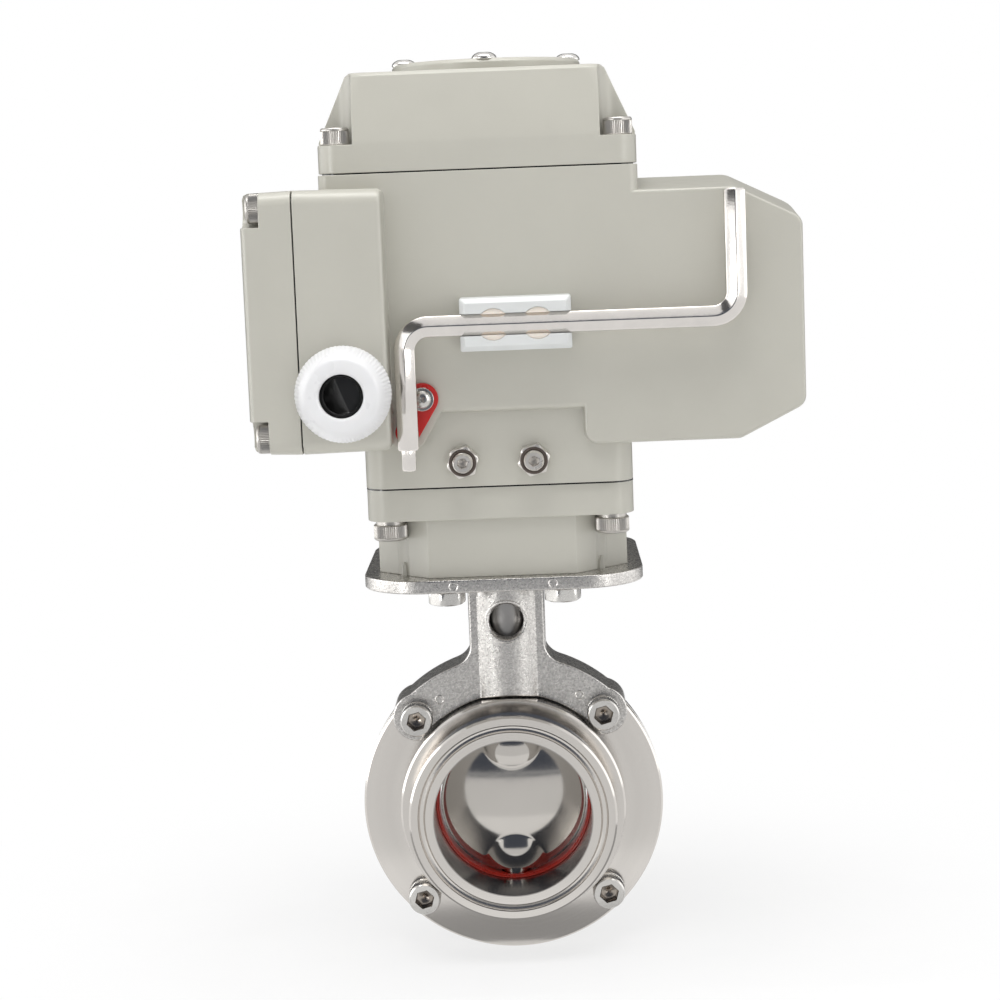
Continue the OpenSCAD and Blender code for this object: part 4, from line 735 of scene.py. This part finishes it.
def nut_gap_shades():
    """Dark ring between each stop bolt and the rim of its nut: painted shade of the thread gap."""
    profile = [(2.9, -0.8), (3.05, -0.1), (3.3, 0.08), (3.7, 0.1), (4.0, 0.04), (4.1, -0.2)]
    shape = Shape()
    for box in islands("stop_nuts"):
        place, length, _ = along(box, TO_FRONT)
        shape.skin(turned(in_mm(profile, length)), place, closed=False)
    shape.piece("stop_nut_gap_shade", "frame", "seal_rubber", "thread_gap_shade")


fasteners("cover_screws", cap_screw, UP, finish="knurled_steel")
fasteners("base_screws", cap_screw, DOWN, 0, BASE_WASHER, finish="knurled_steel")
fasteners("terminal_screws", cap_screw, LEFT, TERMINAL_SINK, finish="knurled_steel")
fasteners("body_bolts", cap_screw, TO_FRONT)
fasteners("yoke_bolts", hex_bolt, DOWN)
fasteners("body_nuts", hex_nut, TO_BACK, NUT_FLATS)
fasteners("stop_nuts", hex_nut, TO_FRONT, STOP_NUT_FLATS, finish="satin_steel")
fasteners("stop_bolts", set_screw, TO_FRONT, finish="satin_steel")
fasteners("window_screws", pan_screw, UP, *WINDOW_HEAD)
fasteners("flap_screw", pan_screw, TO_FRONT, *FLAP_HEAD, FLAP_WASHER)
# Socket linings: dark for oil and as painted shade inside the hexagon sockets
RECESSES.piece("socket_linings", "frame", "fastener_steel", "socket_oil_and_shade")
# Dark rings in the stop nuts' thread gaps: painted shade
nut_gap_shades()


# Pedestal: pointed ribs at its foot

RIB_SPOT = 29.8 * MM
RIB_SINK = 0.1 * MM
RIB_ROOT = 1.4 * MM
RIB_SKIRT = 0.1 * MM

# Height, half width and reach at each stage of a rib, in millimetres
RIB_STAGES = ((0, 1.0, 0.75), (2.6, 0.85, 0.65), (3.6, 0.45, 0.3), (4.0, 0.15, 0))


def index_ribs():
    """Small pointed rib at the foot of each front corner of the pedestal."""
    low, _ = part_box("base_housing")
    shape = Shape()
    for side in (-1, 1):
        out = Vector((side, -1, 0)).normalized()
        across = Vector((1, side, 0)).normalized()
        rings = []
        for stage in RIB_STAGES:
            height, half, reach = (size * MM for size in stage)
            middle = Vector((side * RIB_SPOT, -RIB_SPOT, low.z - RIB_SINK + height))
            tip = half / 4
            outline = (
                (-half, -RIB_ROOT), (-half, -RIB_SKIRT), (-tip, reach), (tip, reach),
                (half, -RIB_SKIRT), (half, -RIB_ROOT),
            )
            rings.append([middle + across * u + out * v for u, v in outline])
        shape.skin(rings)
    shape.piece("index_ribs", "frame", "housing_paint", "housing_paint")


# Crank key: a hexagon bar swept along its bends

CRANK_FLATS = 6 * MM
TIP_FLATS = 4 * MM
TIP_LENGTH = 6 * MM
BEND_RADIUS = 7 * MM
BAR_FILLET = 0.45 * MM
TIP_FILLET = 0.3 * MM
CRANK_CHAMFER = 0.5 * MM
CRANK_END = 0.6 * MM


def hexagon_section(flats, fillet, share=1.0, steps=3):
    """Hexagon with rounded corners, one corner along the second axis, shrunk to a share of its size."""
    reach = (flats / 2 - fillet) * 2 / sqrt(3)
    points = []
    for corner in range(6):
        middle = pi / 2 + corner * pi / 3
        for step in range(steps + 1):
            angle = middle + pi / 3 * (step / steps - 0.5)
            u = reach * cos(middle) + fillet * cos(angle)
            v = reach * sin(middle) + fillet * sin(angle)
            points.append((u * share, v * share))
    return points


def bend(x, z, start, turn, section, steps=14):
    """Stations along a bend in the XZ plane round a middle: place, heading and section."""
    stations = []
    for step in range(steps + 1):
        angle = start + turn * step / steps
        heading = angle + (pi / 2 if turn > 0 else -pi / 2)
        stations.append((x + BEND_RADIUS * cos(angle), z + BEND_RADIUS * sin(angle), heading, section))
    return stations


def crank_key():
    """Bent hexagon key: up from its turned tip, along the middle of the clip, then up again."""
    low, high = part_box("crank_key")
    clip_low, clip_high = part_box("tool_clip")
    bar = (clip_low.z + clip_high.z) / 2
    depth = (low.y + high.y) / 2
    left = low.x + CRANK_FLATS / 2
    right = high.x - CRANK_FLATS / 2
    up = pi / 2
    shoulder = low.z + TIP_LENGTH
    tip = hexagon_section(TIP_FLATS, TIP_FILLET)
    section = hexagon_section(CRANK_FLATS, BAR_FILLET)
    stations = [
        (left, low.z, up, hexagon_section(TIP_FLATS, TIP_FILLET, 0.84)),
        (left, low.z + CRANK_CHAMFER, up, tip),
        (left, shoulder, up, tip),
        (left, shoulder, up, hexagon_section(CRANK_FLATS, BAR_FILLET, 0.9)),
        (left, shoulder + CRANK_CHAMFER, up, section),
    ]
    stations += bend(left + BEND_RADIUS, bar - BEND_RADIUS, pi, -pi / 2, section)
    stations += bend(right - BEND_RADIUS, bar + BEND_RADIUS, -pi / 2, pi / 2, section)
    stations += [
        (right, high.z - CRANK_END, up, section),
        (right, high.z, up, hexagon_section(CRANK_FLATS, BAR_FILLET, 0.86)),
    ]
    rings = []
    for x, z, heading, outline in stations:
        side = Vector((sin(heading), 0, -cos(heading)))
        rings.append([Vector((x, depth + v, z)) + side * u for u, v in outline])
    shape = Shape()
    shape.skin(rings)
    shape.piece("crank_key_bar", "crank", "fastener_steel", "crank_plate", ["crank_key"], crisp=50)


# Disc: a polished dome with the stem bosses blended into it

DISC_RADIUS = 23 * MM
DISC_RIM = 3 * MM
DISC_DOME = 2.9 * MM
DISC_EDGE = 0.8 * MM
DISC_CHAMFER = 0.5 * MM
DISC_POINTS = 300
DISC_STEPS = 60
BOSS_REACH = 9.8 * MM
BOSS_AT = 20.5 * MM
BOSS_RISE = 2.7 * MM
BOSS_END = 21.9 * MM
STUB_RADIUS = 4.5 * MM
CREASE = 0.05


def disc_height(x, z):
    """Half thickness of the disc at a place in its plane: a lens with a low round boss at each end."""
    share = min(hypot(x, z) / (DISC_RADIUS - DISC_EDGE), 1)
    dome = DISC_RIM / 2 + DISC_DOME * (1 - share * share)
    inside = 1 - (hypot(x, abs(z) - BOSS_AT) / BOSS_REACH) ** 2
    return dome + BOSS_RISE * (inside + hypot(inside, CREASE)) / 2


def disc():
    """Both faces of the disc, cut flat at its bosses, and the stub that turns in the body."""
    low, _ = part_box("valve_disc")
    reaches = [DISC_RADIUS * sin(pi / 2 * step / DISC_STEPS) for step in range(1, DISC_STEPS)]

    def level(side, reach, inset=0.0):
        points = []
        for x, z, _ in ring(reach, 0, DISC_POINTS):
            y = side * (disc_height(x, z) - inset)
            points.append((x, y, min(max(z, -BOSS_END), BOSS_END)))
        return points

    def face(side):
        rings = [level(side, reach) for reach in reaches]
        rings.append(level(side, DISC_RADIUS - DISC_CHAMFER))
        rings.append(level(side, DISC_RADIUS, DISC_CHAMFER))
        return rings

    shape = Shape()
    shape.skin(face(-1) + face(1)[::-1])
    shape.skin(turned([
        (STUB_RADIUS - DISC_CHAMFER, low.z), (STUB_RADIUS, low.z + DISC_CHAMFER),
        (STUB_RADIUS, DISC_CHAMFER - BOSS_END),
    ]))
    shape.piece("disc_polished", "output", "stainless_turned", "disc_polish", ["valve_disc"], crisp=45)


# Seat: rubber lips that stand out of the body's bore on both sides of the disc

SEAT_POINTS = 144


def seat_lips():
    """Soft lips, drawn by radius and reach past the seat's face, the same on both sides."""
    _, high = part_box("valve_seat")
    profile = rounded(in_mm([
        (24.3, 0.25), (24.35, -0.35), (24.05, -0.6), (23.8, -0.3), (23.72, 0.25), (23.55, 0.1),
        (23.35, 0.4), (23.3, 1.4), (24.2, 1.0),
    ]), 0.2 * MM)
    shape = Shape()
    for side in (-1, 1):
        place = Matrix.Translation((0, side * high.y, 0)) @ Matrix.Rotation(side * pi / 2, 4, "X")
        revolve(shape, profile, place, SEAT_POINTS)
    shape.piece("seat_lips", "frame", "seat_silicone", "seat_silicone", crisp=80)


# Cable gland: nylon cap nut and the rubber seal inside it

GLAND_FACE = 10.6 * MM
GLAND_HOLE = 6.2 * MM
GLAND_WALL = 4 * MM
GLAND_ROUND = 1.0 * MM
GLAND_RIB = 0.16 * MM
GLAND_RIBS = 72
RIBBED_RIM = 1.7 * MM
SEAL_LIP = 5.5 * MM
SEAL_BORE = 5.2 * MM
SEAL_POINTS = 96
FOLD_DEPTH = 2.0 * MM
FOLD_SLOPE = (-0.41, -0.16)


def gland_nut():
    """Domed nut with fine ribs round its rim."""
    place, length, width = along(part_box("gland_nut"), TO_FRONT)
    outer = width / 2
    inner = outer - GLAND_WALL
    profile = rounded([
        (inner, 0), (outer - 0.3 * MM, 0), (outer, 1.2 * MM), (outer, 4.2 * MM), (outer - 1.2 * MM, 8 * MM),
        (GLAND_FACE, length), (GLAND_HOLE, length), (GLAND_HOLE, length - 2.4 * MM),
        (inner, length - 2.6 * MM),
    ], GLAND_ROUND)

    def ribbed(radius):
        depth = GLAND_RIB if radius > outer - RIBBED_RIM else 0
        return lambda angle: radius - depth * (0.5 + 0.5 * cos(GLAND_RIBS * angle))

    shape = Shape()
    revolve(shape, [(ribbed(radius), height) for radius, height in profile], place, 5 * GLAND_RIBS)
    shape.piece("gland_nut_cap", "frame", "gland_nylon", "gland_nylon", ["gland_nut"])


def gland_seal():
    """Seal ring with a folded membrane across its bore."""
    low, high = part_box("gland_seal")
    middle = (low + high) / 2
    place, length, width = along((low, high), TO_FRONT)
    outer = width / 2
    shape = Shape()
    shape.skin(turned([
        (outer, 0), (outer, length - 2.5 * MM), (GLAND_HOLE - 0.15 * MM, length - 1.4 * MM),
        (GLAND_HOLE - 0.2 * MM, length - 0.8 * MM), (SEAL_LIP, length - 0.6 * MM),
        (SEAL_BORE, length - 0.9 * MM), (SEAL_BORE - 0.1 * MM, length - 4.6 * MM),
        (0.2 * MM, length - 4.8 * MM),
    ], SEAL_POINTS), place)
    membrane = []
    for reach in (SEAL_BORE, SEAL_BORE * 0.75, SEAL_BORE * 0.5, SEAL_BORE * 0.25, 0.02 * MM):
        points = []
        for x, z, level in ring(reach, low.y + FOLD_DEPTH, SEAL_POINTS):
            fold = FOLD_SLOPE[0] * x + FOLD_SLOPE[1] * z
            points.append((middle.x + x, level + max(fold, 0.1 * fold), middle.z + z))
        membrane.append(points)
    shape.skin(membrane)
    shape.piece("gland_seal_lip", "frame", "seal_rubber", "seal_rubber", ["gland_seal"])


# Small cast and moulded details

COLUMN_RADIUS = 12 * MM
WINDOW_AT = 59 * MM
EAR_FACE = 8.15 * MM
EAR_MARK_X = 21.8 * MM
EAR_MARK_Z = 34.4 * MM
PLATE_MARK_X = 14.7 * MM
PLATE_MARK_DOWN = 2.0 * MM
MARK_POINTS = 36
SEAM_STAND = 0.06 * MM
SEAM_CORNER = 7 * MM
SEAM_STEPS = 12
SEAM_DROPS = (0.6 * MM, 0.01 * MM)
SEAM_INNER = 0.97
PIP_REACH = 4.65 * MM
PIP_CLEAR = 3.0 * MM
PIP_ROUND = 0.6 * MM
PIP_STEPS = 12


def window_rims():
    """Rounded rims of the yoke's window, following the round column."""
    profile = in_mm([
        (6.9, -0.4), (6.75, 0.05), (6.4, 0.16), (6.0, 0.05), (5.6, -0.4), (5.3, -1.2), (5.2, -3.0),
        (5.6, -3.0), (6.2, -1.5),
    ])
    shape = Shape()
    for side in (-1, 1):
        rings = []
        for radius, rise in profile + profile[:1]:
            points = []
            for x, z, _ in ring(radius, 0):
                points.append((x, side * (sqrt(COLUMN_RADIUS ** 2 - x * x) + rise), WINDOW_AT + z))
            rings.append(points)
        shape.skin(rings, closed=False)
    shape.piece("window_rims", "frame", "stainless_cast", "stainless_cast", crisp=80)


def cast_marks():
    """Round gate marks that stand out of the yoke's ears and of its plate."""
    low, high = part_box("yoke")
    profile = in_mm([(1.5, -0.2), (1.45, 0.1), (1.25, 0.18), (1.05, 0.1), (0.95, -0.1), (0.05, -0.12)])
    spots = [(x * EAR_MARK_X, -EAR_FACE, EAR_MARK_Z) for x in (-1, 1)]
    spots += [(x * PLATE_MARK_X, low.y, high.z - PLATE_MARK_DOWN) for x in (-1, 1)]
    shape = Shape()
    for spot in spots:
        place = Matrix.Translation(spot) @ Matrix.Rotation(pi / 2, 4, "X")
        shape.skin(turned(profile, MARK_POINTS), place)
    shape.piece("cast_marks", "frame", "stainless_cast", "stainless_cast")


def seam_line():
    """Thin dark strip along the seam between the base flange and the housing's block."""
    _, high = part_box("base_housing")
    straight = high.x + SEAM_STAND - SEAM_CORNER
    outline = []
    for quarter in range(4):
        middle_x = straight * (1 if quarter in (0, 3) else -1)
        middle_y = straight * (1 if quarter in (0, 1) else -1)
        for step in range(SEAM_STEPS + 1):
            angle = (quarter + step / SEAM_STEPS) * pi / 2
            outline.append((middle_x + SEAM_CORNER * cos(angle), middle_y + SEAM_CORNER * sin(angle)))
    bottom, top = (high.z - drop for drop in SEAM_DROPS)
    stages = ((bottom, SEAM_INNER), (bottom, 1), (top, 1), (top, SEAM_INNER))
    rings = [[(x * share, y * share, level) for x, y in outline] for level, share in stages]
    shape = Shape()
    shape.skin(rings, closed=False)
    shape.piece("base_seam_strip", "frame", "seal_rubber", "seal_rubber")


def clip_pips():
    """Snap pips in the clip's reliefs, above and below the bar, cream as a painted warm reflection that
    lights the reliefs.
    """
    low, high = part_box("tool_clip")
    middle = (low + high) / 2
    spread = (high.x - low.x) / 5
    half = sqrt(PIP_REACH ** 2 - PIP_CLEAR ** 2)
    stages = (
        (high.y, 0), (low.y + 1.2 * MM, 0), (low.y + 0.5 * MM, 0.15), (low.y + 0.3 * MM, 0.4),
    )

    def outline(x, y, side, inset):
        """Round back of a pip and its straight front beside the bar, at one depth."""
        points = []
        for step in range(PIP_STEPS + 1):
            u = half * (2 * step / PIP_STEPS - 1) * (1 - inset)
            rise = sqrt(PIP_REACH ** 2 - u * u) - inset * PIP_ROUND
            points.append((x + u, y, middle.z + side * rise))
        for u in (half * (1 - inset), -half * (1 - inset)):
            points.append((x + u, y, middle.z + side * PIP_CLEAR))
        return points

    shape = Shape()
    for x in (middle.x - spread, middle.x + spread):
        for side in (-1, 1):
            shape.skin([outline(x, y, side, inset) for y, inset in stages])
    shape.piece("clip_pips", "frame", "clip_plastic", "clip_warm_reflection", crisp=60)


index_ribs()
crank_key()
disc()
seat_lips()
gland_nut()
gland_seal()
window_rims()
cast_marks()
seam_line()
clip_pips()


# Light, floor and the cards that the metal mirrors, in metres

CENTRE = (0, 0, 0.11)
PART_FOOT = cad_box[0][2]
FLOOR_GAP = 0.2 * MM
FLOOR_RADIUS = 6
FLOOR_POINTS = 128
FLOOR_SHADOW = 0.08
FLOOR_GLOW = 0.72
WORLD_LIGHT = 0.61
DUSK = (0.85, 0.95, 1.2)


def add_area(name, at, aim, size, power, mirrored=True):
    """Round soft lamp; metal shows its reflection only when mirrored is set."""
    data = bpy.data.lights.new(name, "AREA")
    data.shape = "DISK"
    data.size = size
    data.energy = power
    lamp = bpy.data.objects.new(name, data)
    lamp.location = at
    lamp.rotation_euler = (Vector(aim) - Vector(at)).to_track_quat("-Z", "Y").to_euler()
    lamp.visible_glossy = mirrored
    bpy.context.scene.collection.objects.link(lamp)


def seen_rays(tree):
    """1 for rays that see, mirror or look through, 0 for rays that gather light."""
    path = tree.nodes.new("ShaderNodeLightPath")
    seen = path.outputs["Is Camera Ray"]
    for ray in ("Is Glossy Ray", "Is Transmission Ray"):
        both = tree.nodes.new("ShaderNodeMath")
        both.operation = "MAXIMUM"
        tree.links.new(seen, both.inputs[0])
        tree.links.new(path.outputs[ray], both.inputs[1])
        seen = both.outputs[0]
    return seen


def white_world():
    """White where it is seen, and a soft level of light on everything."""
    world = bpy.data.worlds.new("studio")
    bpy.context.scene.world = world
    world.use_nodes = True
    tree = world.node_tree
    background = tree.nodes["Background"]
    background.inputs["Color"].default_value = (1, 1, 1, 1)
    level = tree.nodes.new("ShaderNodeMapRange")
    level.inputs["To Min"].default_value = WORLD_LIGHT
    level.inputs["To Max"].default_value = 1.0
    tree.links.new(seen_rays(tree), level.inputs["Value"])
    tree.links.new(level.outputs["Result"], background.inputs["Strength"])


def floor_surface():
    """White floor that takes the shadow near the part and fades into the white background."""
    made = Surface("floor_white")
    made.colour(made.tone(made.noise(30), (0.86, 0.86, 0.86, 1), (0.9, 0.9, 0.9, 1)))
    made.shader.inputs["Roughness"].default_value = 0.9
    glow = made.node("ShaderNodeEmission", {"Color": (1, 1, 1, 1), "Strength": 1.0})
    reach = made.node("ShaderNodeVectorMath", {"Vector": made.where}, operation="LENGTH").outputs["Value"]
    fade = made.node("ShaderNodeMapRange", {
        "Value": reach, "From Min": FLOOR_SHADOW, "From Max": 3 * FLOOR_SHADOW, "To Min": FLOOR_GLOW,
    }, interpolation_type="SMOOTHSTEP")
    factors = {0: fade.outputs["Result"], 1: seen_rays(made.tree)}
    share = made.node("ShaderNodeMath", factors, operation="MULTIPLY")
    mixed = made.node("ShaderNodeMixShader", {
        "Fac": share.outputs[0], 1: made.shader.outputs[0], 2: glow.outputs[0],
    })
    made.show(mixed.outputs[0])
    return made.material


def add_floor():
    """Wide round floor just below the part."""
    level = PART_FOOT - FLOOR_GAP
    bpy.ops.mesh.primitive_circle_add(
        vertices=FLOOR_POINTS, radius=FLOOR_RADIUS, fill_type="NGON", location=(0, 0, level))
    floor = bpy.context.object
    floor.name = "floor"
    floor.data.materials.append(floor_surface())


def add_card(name, at, aim, width, height, level, tint=(1, 1, 1)):
    """Glowing card that only mirrors show: it gives the bright metal something to reflect."""
    x = width / 2
    y = height / 2
    mesh = bpy.data.meshes.new(name)
    mesh.from_pydata([(-x, -y, 0), (x, -y, 0), (x, y, 0), (-x, y, 0)], [], [(0, 1, 2, 3)])
    made = Surface(name)
    made.show(made.node("ShaderNodeEmission", {"Color": tint + (1,), "Strength": level}).outputs[0])
    mesh.materials.append(made.material)
    card = bpy.data.objects.new(name, mesh)
    card.location = at
    card.rotation_euler = (Vector(aim) - Vector(at)).to_track_quat("Z", "Y").to_euler()
    card.visible_camera = False
    card.visible_diffuse = False
    card.visible_transmission = False
    card.visible_shadow = False
    bpy.context.scene.collection.objects.link(card)


def lay_card(name, ahead, width, depth, level, tint=(1, 1, 1), lift=0.0):
    """Card that lies level with the part's foot, at a distance in front of its axis."""
    add_card(name, (0, -ahead, PART_FOOT + lift), (0, -ahead, 1), width, depth, level, tint)


def stand_card(name, x, y, z, width, height, level, tint=(1, 1, 1)):
    """Card that stands upright and faces the middle of the scene."""
    add_card(name, (x, y, z), (0, 0, z), width, height, level, tint)


white_world()
add_floor()
add_area("key", (-1.0, -1.0, 1.0), CENTRE, size=0.9, power=0.8)
add_area("fill", (1.1, -0.8, 0.5), CENTRE, size=0.9, power=0.4)
add_area("top", (0.0, -0.35, 1.4), CENTRE, size=1.0, power=13, mirrored=False)
add_area("low", (0.05, -0.8, -0.03), (0, 0, 0.06), size=0.6, power=0.9, mirrored=False)
lay_card("card_floor", 0.71, width=2.0, depth=1.2, level=0.82)
lay_card("card_middle", 0.08, width=0.3, depth=0.06, level=1.0)
# card_near: a dim card that the metal mirrors as the floor's shade next to the part, a painted shadow
lay_card("card_near", 0.03, width=0.3, depth=0.04, level=0.36)
lay_card("card_far", 1.05, width=1.0, depth=0.5, level=0.1, tint=DUSK, lift=0.1 * MM)
stand_card("card_camera", 0, -0.9, 0.53, width=1.0, height=1.1, level=0.1, tint=DUSK)
add_card("card_high", (0, -0.75, 1.2), CENTRE, width=1.0, height=0.3, level=0.8)
stand_card("card_left", -0.9, 0, 0.2, width=0.9, height=0.9, level=3.0)
stand_card("card_right", 0.9, 0, 0.2, width=0.7, height=0.9, level=1.7)
add_card("card_dusk", (-0.6, -0.66, 0.92), CENTRE, width=0.7, height=0.46, level=0.08)
stand_card("card_back", 0, 0.55, 0.2, width=1.2, height=0.9, level=0.12)
add_card("strip_left", (-0.75, -0.75, 0.12), CENTRE, width=0.2, height=0.64, level=8)
add_card("strip_right", (0.8, -0.7, 0.25), CENTRE, width=0.2, height=0.9, level=5)
add_card("strip_top", (0, -0.2, 1.2), CENTRE, width=1.2, height=0.3, level=7)
bpy.context.scene.view_settings.view_transform = "Standard"
